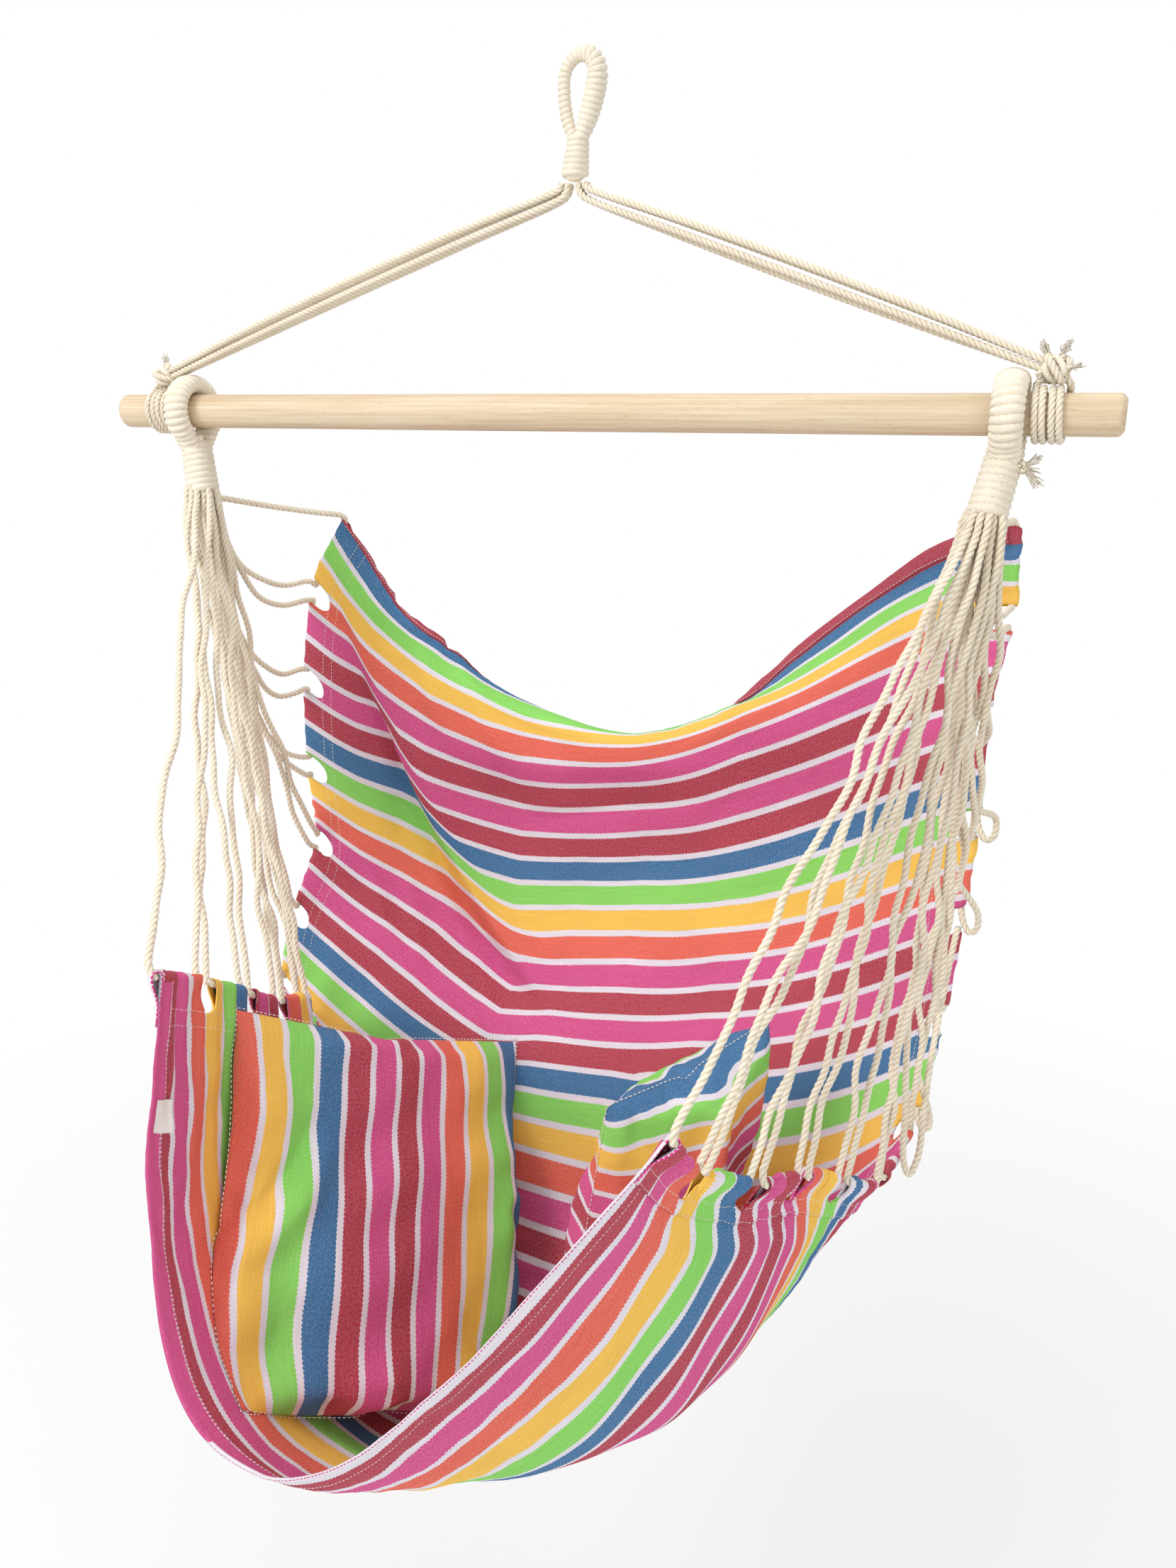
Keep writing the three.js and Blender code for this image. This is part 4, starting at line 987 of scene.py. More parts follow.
@dataclass
class Suspension:
    """The ropes from the hanging eye to the bar, and how they are made fast round the bar's ends."""

    bar: SpreaderBar
    eye: HangingEye
    rope: float = 0.0062
    gap: float = 0.0003
    spacing_gap: float = 0.0002
    turn_gap: float = 0.0003
    knot_from_end: float = 0.057
    knot_length: float = 0.025
    knot_diameter: float = 0.021
    tail: float = 0.015
    turns: int = 4
    # How far the ropes hang below the straight line, in ropes, by row and column
    sag = {
        Side.LEFT: ((-0.9, -0.7), (-0.4, -0.1)),
        Side.RIGHT: ((-0.7, -0.4), (-0.2, 0.5)),
    }
    # Which ways the cut ends leave the knots
    tails = {
        Side.LEFT: ((-0.3, 0.4, 1.0),),
        Side.RIGHT: ((-0.55, -0.3, 1.0), (0.45, -0.1, 1.0), (1.0, -0.3, 0.1)),
    }

    def knot_place(self, side: Side) -> tuple[Points, Points]:
        """The knot's middle and the way from it to the hanging eye's neck."""
        end = self.bar.left + self.knot_from_end if side is Side.LEFT else self.bar.right - self.knot_from_end
        wraps = (self.bar.diameter / 2 + self.gap + self.rope / 2) / math.cos(math.pi / 12) + self.rope / 2
        centre = np.array([end, 0.0, wraps + self.gap + self.knot_diameter / 2 - self.bar.drop])
        neck = self.eye.neck_at(np.array([self.eye.neck_end]))[0]
        return centre, unit(centre - neck)

    def rope_line(self, side: Side, row: int, column: int) -> Points:
        """One rope's middle line from the neck to the knot.

        Args:
            side: the bar's end.
            row: 0 for the upper pair, 1 for the lower.
            column: 0 for the front, 1 for the back.

        Returns:
            A smooth line.
        """
        centre, ahead = self.knot_place(side)
        half = (self.rope + self.spacing_gap) / 2
        y = -half if column == 0 else half
        upper = row == 0
        leave = side.value * (3.5 if upper else 1.5) * half - self.eye.lean
        start = np.array([leave, y, -self.eye.neck_end - self.gap])
        normal = np.array([-ahead[2] * side.value, 0.0, ahead[0] * side.value])
        mouth = centre - ahead * (0.36 * self.knot_length + self.gap) + normal * (half if upper else -half)
        mouth[1] = y
        bend = (0.7 if upper else 1.7) * self.rope
        corner = np.array([leave, y, start[2] - bend])
        run = unit(mouth - corner)
        sag = self.sag[side][row][column] * self.rope
        spread = (-1 if column == 0 else 1) * 0.3 * self.rope
        first = corner + run * bend
        line = [start]
        for share in (0.3, 0.6):
            before, after = start + (corner - start) * share, corner + (first - corner) * share
            line.append(before * (1 - share) + after * share)
        line.append(first)
        for share in (0.2, 0.4, 0.6, 0.8):
            wave = 4 * share * (1 - share)
            line.append(first + (mouth - first) * share + np.array([0.0, spread * wave, -sag * wave]))
        line += [mouth - ahead * self.rope, mouth, mouth + ahead * self.rope * 1.6]
        return curved(np.array(line), 0.003)

    def knot_line(self, side: Side, start: float, size: float = 1.0) -> Points:
        """A rope's way round the knot: two crossing turns, drawn tight."""
        centre, ahead = self.knot_place(side)
        across = np.array([0.0, 1.0, 0.0])
        up = np.cross(ahead, across)
        turn = np.linspace(0, TAU * 0.97, 70)
        out = size * (0.0062 + 0.0024 * np.cos(3 * turn + start))
        lean = size * 0.0072 * np.sin(3 * turn + start)
        ring = (
            np.outer(out * np.cos(2 * turn), across)
            + np.outer(out * np.sin(2 * turn) * 0.95, up)
            + np.outer(lean, ahead)
        )
        return centre + ring

    def wraps_line(self, side: Side) -> Points:
        """The rope's turns round the bar, which climb to the knot at both ends."""
        turns = self.turns
        centre, _ = self.knot_place(side)
        pitch = self.rope + self.turn_gap
        reach = self.bar.diameter / 2 + self.gap + self.rope / 2
        angle = np.linspace(0, turns * TAU, turns * 28)
        x = centre[0] + (angle / TAU - turns / 2) * pitch
        wobble = 0.0005 * np.sin(angle * 0.5 + side.value)
        line = np.stack([x + wobble, -reach * np.sin(angle), reach * np.cos(angle) - self.bar.drop], axis=1)
        lift = np.array([0.0, 0.0, self.rope * 0.9])
        first = centre + np.array([-self.rope, 0.0, -0.002])
        last = centre + np.array([self.rope, 0.0, -0.002])
        return np.vstack([first, line[0] + lift * 0.5, line[4:-4], line[-1] + lift * 0.5, last])

    def build(self, cotton: Material) -> None:
        """Builds the ropes, the turns round the bar and the knots.

        Args:
            cotton: the cord's finish.
        """
        cord = Cord(self.rope * 1.03, lay=0.0155)
        for side in Side:
            for number, (row, column) in enumerate(((0, 0), (0, 1), (1, 0), (1, 1)), 1):
                line = self.rope_line(side, row, column)
                rope = cord.lay_along(f"{side.word}_suspension_cord_{number}", [line], cotton)
                node = f"{side.word}_suspension_rope_{number}"
                dress(rope, cotton, "suspension_rope", Body.SUSPENSION, node)
            wraps = cord.lay_along(f"{side.word}_bar_turns", [even(self.wraps_line(side), 0.0015)], cotton)
            dress(wraps, cotton, "suspension_rope", Body.SUSPENSION, f"{side.word}_bar_wraps")
            centre, ahead = self.knot_place(side)
            turns = [self.knot_line(side, 0.0), self.knot_line(side, math.pi), self.knot_line(side, 1.6, 1.3)]
            knot = cord.lay_along(f"{side.word}_knot", turns, cotton)
            dress(knot, cotton, "knot_rope", Body.SUSPENSION, f"{side.word}_bar_knot")
            stubs, fibres = [], []
            for k, way in enumerate(self.tails[side]):
                lean = unit(np.array(way))
                root = centre + lean * (self.knot_diameter / 2 + 0.002)
                stubs.append(curved(np.array([centre, centre + lean * 0.007 + ahead * 0.001, root]), 0.002))
                fibres += frayed(root - lean * 0.001, root + lean * self.tail * 0.62, 22, 5 + k)
            tails = cord.lay_along(f"{side.word}_knot_tails", stubs, cotton)
            dress(tails, cotton, "knot_rope", Body.SUSPENSION)
            fray = YARN.lay_along(f"{side.word}_knot_fray", fibres, cotton)
            dress(fray, cotton, "knot_rope", Body.SUSPENSION)


# The side eyes


@dataclass
class SideEye:
    """The served loop that rides on the bar, and the neck under it that gathers the harness ropes."""

    bar: SpreaderBar
    side: Side
    lean_x: float
    lean_y: float
    from_bar_end: float = 0.088
    axial: float = 0.028
    thick: float = 0.0195
    spread: float = 0.0044
    foot: float = 0.010
    foot_drop: float = 0.043
    neck_top: float = 0.027
    neck_bottom: float = 0.081
    top_core: float = 0.0215
    bottom_core: float = 0.0255
    serving: float = 0.0050
    pitch: float = 0.0062
    gap: float = 0.0007

    @property
    def x(self) -> float:
        """Where the loop stands on the bar."""
        if self.side is Side.LEFT:
            return self.bar.left + self.from_bar_end
        return self.bar.right - self.from_bar_end

    def neck_at(self, drop: Points) -> Points:
        """The neck's axis at some drops below the bar's axis."""
        share = np.maximum(0, drop - self.neck_top) / (self.neck_bottom - self.neck_top)
        return np.stack([self.x + self.lean_x * share, self.lean_y * share, -self.bar.drop - drop], axis=-1)

    def loop_spine(self) -> tuple[Points, Points]:
        """The loop's middle line from the front foot over the bar to the back foot, and its thickness."""
        reach = self.bar.diameter / 2 + self.gap + self.thick / 2
        angle = np.radians(np.linspace(-46, 226, 40))
        y, z = -reach * np.cos(angle), reach * np.sin(angle) - self.bar.drop
        arc = np.stack([np.full(len(angle), self.x), y, z, np.full(len(angle), self.thick)], axis=1)
        drop = self.foot_drop + self.bar.drop
        front, back = (np.array([self.x, y, -drop, self.foot]) for y in (-self.spread, self.spread))
        spine = even(np.vstack([front, (arc[0] + front) / 2, arc, (arc[-1] + back) / 2, back]), 0.001)
        return spine[:, :3], spine[:, 3]

    def build(self, cotton: Material) -> None:
        """Builds the loop, its neck, the cord served round both and, on the right side, the cord's frayed
        end.

        Args:
            cotton: the cord's finish.
        """
        word = self.side.word
        spine, thickness = self.loop_spine()
        side = np.array([1.0, 0.0, 0.0])
        cord = Cord(self.serving * 1.65, lay=0.014, step=0.0016, lobe=0.025)
        inset = self.serving * 0.825
        reach_wide = np.full(len(spine), self.axial / 2 - inset)
        reach_deep = np.maximum(thickness / 2 - inset, 0.0008)
        loop = wind(spine, np.tile(side, (len(spine), 1)), reach_wide, reach_deep, self.pitch, 1.2)
        drops = np.arange(self.neck_top + 0.002, self.neck_bottom - self.serving * 0.3, 0.001)
        core = np.interp(drops, [self.neck_top, self.neck_bottom], [self.top_core, self.bottom_core]) / 2
        flat = np.interp(drops, [self.neck_top, self.neck_top + 0.012], [0.72, 1.0])
        neck = self.neck_at(drops)
        reach = core + self.serving * 0.175
        collar = wind(neck, np.tile(side, (len(drops), 1)), reach, reach * flat, self.pitch, 0.4)
        served = cord.lay_along(f"{word}_eye_serving", [loop, collar], cotton)
        dress(served, cotton, "eye_rope", Body.SEAT, f"{word}_eye_whipping")
        turn = np.arange(24) / 24 * TAU
        ahead = unit(np.gradient(spine, axis=0))
        rings = []
        for i in range(0, len(spine), 3):
            deep = max(0.001, thickness[i] / 2 - self.serving * 0.8)
            flank = np.outer(np.cos(turn) * (self.axial / 2 - self.serving), side)
            rings.append(spine[i] + flank + np.outer(np.sin(turn) * deep, np.cross(ahead[i], side)))
        dress(loft(f"{word}_eye_core", rings), cotton, "eye_rope", Body.SEAT, f"{word}_side_eye")
        rings = []
        for i in range(0, len(drops), 3):
            ring = np.stack([core[i] * np.cos(turn), core[i] * flat[i] * np.sin(turn), 0 * turn], axis=1)
            rings.append(neck[i] + ring)
        dress(loft(f"{word}_eye_neck", rings), cotton, "eye_rope", Body.SEAT)
        if self.side is Side.RIGHT:
            self.end_knot(cotton)

    def end_knot(self, cotton: Material) -> None:
        """Ties off the serving cord beside the neck, with its cut ends frayed.

        Args:
            cotton: the cord's finish.
        """
        centre = self.neck_at(np.array([0.041]))[0] + np.array([0.0165, -0.004, 0.0])
        turn = np.linspace(0, TAU, 40)
        out = 0.0034 + 0.0010 * np.cos(3 * turn)
        knot = np.stack([out * np.cos(2 * turn), 0.0026 * np.sin(3 * turn), out * np.sin(2 * turn)], axis=1)
        cord = Cord(0.0045, lay=0.012, step=0.002)
        lump = cord.lay_along("right_eye_end_knot", [centre + knot], cotton)
        dress(lump, cotton, "eye_rope", Body.SEAT)
        yarns = []
        for k, way in enumerate(((0.9, -0.3, -0.8), (0.8, -0.2, 0.55), (0.5, -0.2, -0.2))):
            lean = unit(np.array(way))
            yarns += frayed(centre + lean * 0.003, centre + lean * (0.018 - 0.003 * k), 14, 20 + k)
        dress(YARN.lay_along("right_eye_end_fray", yarns, cotton), cotton, "eye_rope", Body.SEAT)


# The cloth


@dataclass(frozen=True)
class Crease:
    """A ridge or a hollow in the cloth along a line.

    The line's points are shares across the cloth and stripe numbers, and on a cushion's face they go from
    -1 to 1 both ways. The ridge stands towards the sitter by height, a hollow has a height below 0, and
    before and after say how wide its flanks are on the side of smaller shares and on the other side.
    """

    line: tuple[tuple[float, float], ...]
    height: float
    before: float
    after: float

    def rise(self, s: Points, v: Points, scale: Sequence[float], fading: float) -> Points:
        """The crease's height over some flat points.

        Args:
            s: the points' first coordinates.
            v: the points' second coordinates.
            scale: how long a step of 1 of the line's two numbers is in these coordinates.
            fading: how slowly the crease fades towards its ends.

        Returns:
            The heights.
        """
        signed, place = beside(np.array(self.line) * scale, s, v)
        flank = np.where(signed < 0, self.before, self.after)
        taper = np.sin(np.pi * np.clip(place, 0, 1)) ** fading
        return self.height * np.exp(-((np.abs(signed) / flank) ** 1.5)) * taper


@dataclass
class CanvasSeat:
    """The striped canvas: one sheet with hemmed sides cut to twelve sleeves, and hems at top and front."""

    bar: SpreaderBar
    width: float = 1.0
    pitch: float = 0.033
    stripes: int = 38
    sleeves: int = 12
    top_hem: float = 0.030
    front_hem: float = 0.005
    thickness: float = 0.0013
    notch_half: float = 0.45
    notch_depth: float = 0.030
    channel: float = 0.0047
    flap: float = 0.045
    seam: float = 0.028
    top_turned: float = 0.027
    front_turned: float = 0.024
    # How much of the last stripe is white, and from where across this white reaches round the fold
    last_white: float = 0.24
    white_from: float = 0.42
    rows_each: int = 19
    left_edge = np.array(
        [
            [-0.9, -0.323, 0.140, -0.123],
            [3.17, -0.373, 0.140, -0.207],
            [6.33, -0.385, 0.130, -0.313],
            [9.5, -0.381, 0.120, -0.418],
            [12.67, -0.362, 0.100, -0.503],
            [15.83, -0.368, 0.052, -0.580],
            [19, -0.355, 0.005, -0.650],
            [22.17, -0.307, -0.025, -0.666],
            [25.33, -0.259, -0.075, -0.616],
            [28.5, -0.252, -0.135, -0.592],
            [31.67, -0.238, -0.205, -0.548],
            [34.83, -0.215, -0.290, -0.495],
            [38.15, -0.196, -0.370, -0.450],
        ]
    )
    right_edge = np.array(
        [
            [-0.9, 0.408, 0.145, -0.102],
            [3.17, 0.414, 0.145, -0.187],
            [6.33, 0.402, 0.130, -0.288],
            [9.5, 0.402, 0.120, -0.391],
            [12.67, 0.398, 0.110, -0.490],
            [15.83, 0.390, 0.080, -0.588],
            [19, 0.378, 0.020, -0.672],
            [22.17, 0.355, -0.045, -0.702],
            [25.33, 0.331, -0.105, -0.668],
            [28.5, 0.305, -0.160, -0.638],
            [31.67, 0.280, -0.222, -0.612],
            [34.83, 0.256, -0.295, -0.565],
            [38.15, 0.256, -0.370, -0.492],
        ]
    )
    middle = np.array(
        [
            [-0.9, -0.007, 0.250, -0.397],
            [3, 0.009, 0.190, -0.363],
            [8.5, 0.010, 0.190, -0.521],
            [12.5, 0.023, 0.115, -0.616],
            [16.5, 0.036, 0.030, -0.711],
            [21.5, 0.043, -0.075, -0.866],
            [26, 0.045, -0.165, -0.970],
            [30, 0.005, -0.265, -0.970],
            [34, -0.038, -0.365, -0.920],
            [38.15, -0.070, -0.450, -0.858],
        ]
    )
    # Fullness of the left half, of the right half and of its depth, upright flanks, and a level right start
    section = np.array(
        [
            [-0.9, 2.0, 1.6, 3.4, 0.0, 1.85],
            [8.5, 2.2, 2.0, 3.0, 0.0, 1.3],
            [16.5, 2.4, 2.1, 2.3, 0.1, 1.0],
            [26, 2.6, 2.35, 2.1, 0.25, 1.0],
            [38.15, 2.3, 1.6, 1.6, 0.1, 1.0],
        ]
    )
    # The taut line from the top left corner down to the seat, as shares across and stripe numbers
    ridge: tuple[tuple[float, float], ...] = (
        (-0.02, 0.6), (0.03, 2.0), (0.07, 3.5), (0.11, 5.0), (0.14, 5.9), (0.163, 6.9), (0.19, 8.1),
        (0.223, 9.3), (0.26, 10.5), (0.30, 11.6), (0.35, 12.7), (0.41, 13.8), (0.483, 14.7),
    )
    creases: tuple[Crease, ...] = (
        Crease(((0.11, 5.0), (0.163, 6.9), (0.223, 9.3), (0.30, 11.6), (0.41, 13.8)), 0.012, 0.012, 0.05),
        Crease(((0.15, 0.6), (0.213, 4.5), (0.24, 5.4), (0.31, 5.8)), 0.007, 0.012, 0.03),
        Crease(((0.197, 0.4), (0.247, 2.2), (0.29, 4.1), (0.34, 6.0)), 0.006, 0.014, 0.02),
        Crease(((0.30, 6.3), (0.36, 7.2), (0.49, 6.2), (0.60, 5.9)), -0.006, 0.010, 0.012),
        Crease(((0.24, 4.6), (0.36, 5.2), (0.49, 4.6), (0.62, 4.7)), 0.008, 0.022, 0.03),
        Crease(((0.08, 11.3), (0.127, 13.3), (0.20, 15.0), (0.253, 16.6)), 0.006, 0.014, 0.014),
        Crease(((0.15, 11.4), (0.19, 13.2), (0.24, 15.6)), 0.006, 0.010, 0.016),
        Crease(((0.173, 9.8), (0.21, 10.9), (0.28, 13.0), (0.363, 15.8), (0.40, 17.5)), 0.008, 0.010, 0.022),
    )

    def __post_init__(self) -> None:
        """Works out the sheet's surface once, as a fine lattice."""
        self.first = -self.top_hem / self.pitch
        self.last = self.stripes + self.front_hem / self.pitch
        self.stripe_lines = np.linspace(self.first, self.last, 392)
        self.share_lines = np.linspace(0, 1, 301)
        surface = self.lattice()
        surface = surface - self.face(surface) * self.relief()[..., None]
        self.surface = self.rolled(self.slipped(surface))
        self.outward = self.face(self.surface)

    def beside_ridge(self) -> tuple[Points, Points]:
        """How far each lattice point lies from the taut line, positive above it, and the place along it."""
        s = self.share_lines[None, :] * self.width
        v = self.stripe_lines[:, None] * self.pitch
        return beside(np.array(self.ridge) * [self.width, self.pitch], s, v)

    def slipped(self, surface: Points) -> Points:
        """Lets the stripes hang lower on the right of the taut line than on its left.

        Args:
            surface: the lattice before.

        Returns:
            The lattice with each column's points moved along it.
        """
        t = self.stripe_lines[:, None]
        s = self.share_lines[None, :]
        knots = [-0.9, -0.82, -0.6, 0.5, 3.0, 5.0, 8.0, 11.0, 13.0, 16.0, 19.0]
        above_at = [0, 0.1, 0.2, 0.34, 0.43, 0.52, 0.65]
        above = [
            [0, 0, 0, 0, 0, 0, 0],
            [-0.85, -0.3, 0, 0, 0, 0, 0],
            [-0.9, -0.4, 0, 0, 0, 0, 0],
            [-0.55, -0.1, 0.2, 0.25, 0.2, 0.1, 0],
            [0, 0.7, 1.0, 1.1, 0.9, 0.5, 0],
            [0, 0.9, 1.15, 1.15, 0.8, 0.45, 0],
            [0, 1.0, 1.2, 1.0, 0.45, 0.1, 0],
            [0, 1.0, 1.2, 1.05, 0.45, 0.1, 0],
            [0, 1.0, 1.1, 1.15, 0.65, 0.3, 0],
            [0, 0.4, 0.8, 1.1, 0.65, 0.4, 0],
            [0, 0, 0, 0, 0, 0, 0],
        ]
        below_at = [0, 0.08, 0.15, 0.22, 0.3, 0.36, 0.43, 0.55]
        below = [
            [0, 0, 0, 0, 0, 0, 0, 0],
            [-0.85, -0.3, 0, 0, 0, 0, 0, 0],
            [-0.9, -0.4, 0, 0, 0, 0, 0, 0],
            [-0.55, -0.1, 0, 0, 0, 0, 0, 0],
            [0, 0, 0, 0, 0, 0, 0, 0],
            [0, 0, -0.2, -0.2, -0.2, 0, 0, 0],
            [0, -0.1, -0.4, -0.4, -0.4, -0.4, 0, 0],
            [0, -0.1, -0.4, -0.45, -0.3, -0.2, 0, 0],
            [0, 0, -0.1, 0.0, 0.5, 1.0, 0.6, 0.3],
            [0, 0, 0.1, 0.4, 0.8, 1.1, 0.65, 0.3],
            [0, 0, 0, 0, 0, 0, 0, 0],
        ]
        signed, place = self.beside_ridge()
        step = eased(np.clip(signed / (0.014 + 0.085 * np.clip(place / 0.8, 0, 1) ** 2.5) + 0.5, 0, 1))
        upper, lower = (
            picked(picked(np.array(table).T, at, self.share_lines).T, knots, self.stripe_lines)
            for at, table in ((above_at, above), (below_at, below))
        )
        slip = upper * step + lower * (1 - step)
        # At the front right the sleeves bunch, and the stripes between them spread below the edge
        spread_at = [
            24.0, 24.7, 25.4, 26.0, 26.6, 27.25, 28.1, 29.2, 30.4, 31.65, 32.9, 34.2, 35.5, 36.75, 38.0,
        ]
        spread = [0, -0.3, -0.6, -1.0, -1.4, -1.75, -1.9, -1.8, -1.6, -1.35, -1.1, -0.8, -0.5, -0.25, 0]
        reach = np.clip((s - 0.3) / 0.25, 0, 1) * np.clip((0.985 - s) / 0.07, 0, 1)
        slip = slip + np.interp(self.stripe_lines, spread_at, spread)[:, None] * eased(reach)
        cloth = np.maximum.accumulate(t - slip, axis=0)
        rising = np.arange(len(cloth)) * 1e-9
        columns = zip(surface.swapaxes(0, 1), cloth.T)
        return np.stack([picked(place, keys + rising, self.stripe_lines) for place, keys in columns], axis=1)

    def rolled(self, surface: Points) -> Points:
        """Rolls the top hem over backwards on the left half, as its weight and the rope pull it.

        Args:
            surface: the lattice before.

        Returns:
            The lattice with its first rows bent away from the sitter.
        """
        radius = 0.010
        # Near the corner the whole hem is out of sight, further right its edge shows
        s = self.share_lines
        starts = np.interp(s, [0, 0.04, 0.1, 0.2, 0.45, 0.62], [0.02, 0.1, 0.4, 0.5, 0.34, 0.25])
        outward = self.face(surface)
        weights = eased(np.clip((s - 0.004) / 0.03, 0, 1) * np.clip((0.62 - s) / 0.14, 0, 1))
        out = surface.copy()
        for j, (start, weight) in enumerate(zip(starts, weights)):
            row = int(np.searchsorted(self.stripe_lines, start))
            up = unit(surface[row, j] - surface[row + 4, j])
            distance = np.linalg.norm(surface[:row, j] - surface[row, j], axis=1)[:, None]
            angle = np.minimum(distance / radius, 2.5)
            ahead = up * np.cos(angle) + outward[row, j] * np.sin(angle)
            bent = surface[row, j] + radius * (up * np.sin(angle) + outward[row, j] * (1 - np.cos(angle)))
            bent += ahead * (distance - angle * radius)
            out[:row, j] = surface[:row, j] * (1 - weight) + bent * weight
        return out

    @staticmethod
    def along_table(table: Points, stripe: Points) -> Points:
        """Runs a smooth line through a table's rows, at some stripe numbers."""
        keys, values = table[:, 0], table[:, 1:]
        slopes = np.zeros_like(values)
        steps = np.diff(keys)
        rises = np.diff(values, axis=0) / steps[:, None]
        weight = (steps[1:] / (steps[1:] + steps[:-1]))[:, None]
        slopes[1:-1] = rises[:-1] * weight + rises[1:] * (1 - weight)
        slopes[0], slopes[-1] = rises[0], rises[-1]
        i = np.clip(np.searchsorted(keys, stripe, side="right") - 1, 0, len(keys) - 2)
        step = steps[i][:, None]
        s = (stripe - keys[i])[:, None] / step
        return (
            (2 * s**3 - 3 * s**2 + 1) * values[i]
            + (s**3 - 2 * s**2 + s) * step * slopes[i]
            + (3 * s**2 - 2 * s**3) * values[i + 1]
            + (s**3 - s**2) * step * slopes[i + 1]
        )

    def lattice(self) -> Points:
        """The plain sheet's points, by stripe line and by share across."""
        t = self.stripe_lines
        left, right, middle = (
            self.along_table(table, t) * self.width + self.bar.middle
            for table in (self.left_edge, self.right_edge, self.middle)
        )
        full_left, full_right, deep_right, upright, level = self.along_table(self.section, t).T[:, :, None]
        hang = middle - (left + right) / 2
        w = np.linspace(0, 1, 241)[None, :]
        share = w - upright * np.sin(TAU * w) / TAU
        away = np.abs(2 * w - 1)
        low = np.where(w < 0.5, 1 - away**full_left, np.maximum(1 - away**full_right, 0) ** level)
        deep = np.where(w < 0.5, 1 - away**full_left, 1 - away**deep_right)
        sink = np.stack([low, deep, low], axis=2)
        rows = left[:, None] + (right - left)[:, None] * share[..., None] + hang[:, None] * sink
        out = []
        for row in rows:
            lengths = along(row)
            out.append(picked(row, lengths, self.share_lines * lengths[-1]))
        return np.array(out)

    @staticmethod
    def face(surface: Points) -> Points:
        """The direction away from the sitter at each point of a lattice."""
        wide = np.gradient(surface, axis=1)
        down = np.gradient(surface, axis=0)
        return unit(np.cross(wide, down))

    def relief(self) -> Points:
        """How far the cloth stands in towards the sitter, beyond the plain sheet: creases and gathers."""
        s = self.share_lines[None, :] * self.width
        v = self.stripe_lines[:, None] * self.pitch
        height = np.zeros((len(self.stripe_lines), len(self.share_lines)))
        for crease in self.creases:
            height += crease.rise(s, v, (self.width, self.pitch), 0.7)
        # The slack flank between the left hem and the taut line falls away behind it
        signed, place = self.beside_ridge()
        hem = np.clip((s - 0.045) / 0.1, 0, 1)
        behind = np.clip(-signed / 0.022, 0, 1)
        strong = np.clip(place / 0.15, 0, 1) * np.clip((0.98 - place) / 0.3, 0, 1)
        height -= 0.034 * hem * eased(behind) * np.exp(signed / 0.14 * (signed < 0)) * strong
        # The top rows stand up towards the sitter on the left half
        stand = np.clip((3.4 - v / self.pitch) / 3.4, 0, 1.2)
        share = s / self.width
        height += 0.020 * stand * np.clip((share - 0.06) / 0.12, 0, 1) * np.clip((0.6 - share) / 0.2, 0, 1)
        # The ropes gather the sleeves: puckers run in from both edges, deeper towards the front
        rng = np.random.default_rng(11)
        for edge in (0, 1):
            inward = s if edge == 0 else self.width - s
            wave = np.zeros_like(height)
            for _ in range(5):
                length = rng.uniform(0.019, 0.042)
                wave = wave + np.sin(TAU * v / length + rng.uniform(0, TAU) + 9 * inward * rng.uniform(-1, 1))
            gather = 0.0006 + 0.0007 * np.clip((v / self.pitch - 18) / 10, 0, 1)
            height += wave * gather * np.exp(-((inward / 0.07) ** 1.4))
        # Slack of the whole sheet: soft rolls 60 to 300 mm long, and small crumples that come and go
        for _ in range(26):
            kx, ky = rng.normal(0, 26), rng.normal(0, 34)
            height += 0.0012 * np.sin(kx * s + ky * v + rng.uniform(0, TAU)) / (0.6 + math.hypot(kx, ky) / 26)
        crumple = np.zeros_like(height)
        for _ in range(18):
            kx, ky = rng.normal(0, 130), rng.normal(0, 150)
            crumple = crumple + np.sin(kx * s + ky * v + rng.uniform(0, TAU))
        patch = np.sin(7 * s + 5 * v + 1.0) * np.sin(11 * v - 6 * s + 2.0) + 0.35
        height += 0.00022 * crumple * np.clip(patch, 0, 1)
        return height

    def at(self, share: Points, stripe: Points, out: float | Points = 0.0) -> Points:
        """Points of the sheet.

        Args:
            share: shares across, from 0 at the left edge to 1.
            stripe: stripe numbers, as many.
            out: how far off the sheet, away from the sitter.

        Returns:
            The points.
        """
        x = np.clip(np.asarray(share, float), 0, 1) * (len(self.share_lines) - 1)
        span = self.last - self.first
        y = np.clip((np.asarray(stripe, float) - self.first) / span, 0, 1) * (len(self.stripe_lines) - 1)
        i = np.minimum(x.astype(int), len(self.share_lines) - 2)
        j = np.minimum(y.astype(int), len(self.stripe_lines) - 2)
        fx, fy = (x - i)[..., None], (y - j)[..., None]
        place, facing = (
            (table[j, i] * (1 - fx) + table[j, i + 1] * fx) * (1 - fy)
            + (table[j + 1, i] * (1 - fx) + table[j + 1, i + 1] * fx) * fy
            for table in (self.surface, self.outward)
        )
        return place + unit(facing) * np.asarray(out)[..., None]

    def out_at(self, share: Points, stripe: Points) -> Points:
        """The direction away from the sitter at points of the sheet."""
        return unit(self.at(share, stripe, 1.0) - self.at(share, stripe))

    def sleeve_rows(self, depth: float) -> Points:
        """The stripe number of every mesh row of every sleeve, at one depth from the cloth's edge.

        Args:
            depth: metres in from the edge.

        Returns:
            Stripe numbers, one row for each sleeve.
        """
        part = min(1.0, max(0.0, depth / self.notch_depth))
        half = self.notch_half * math.sqrt(max(0.0, 1 - part**3.2))
        each = self.stripes / self.sleeves
        rows = []
        for k in range(self.sleeves):
            start = self.first if k == 0 else k * each + half
            end = self.last if k == self.sleeves - 1 else (k + 1) * each - half
            rows.append(np.linspace(start, end, self.rows_each + 1))
        return np.array(rows)

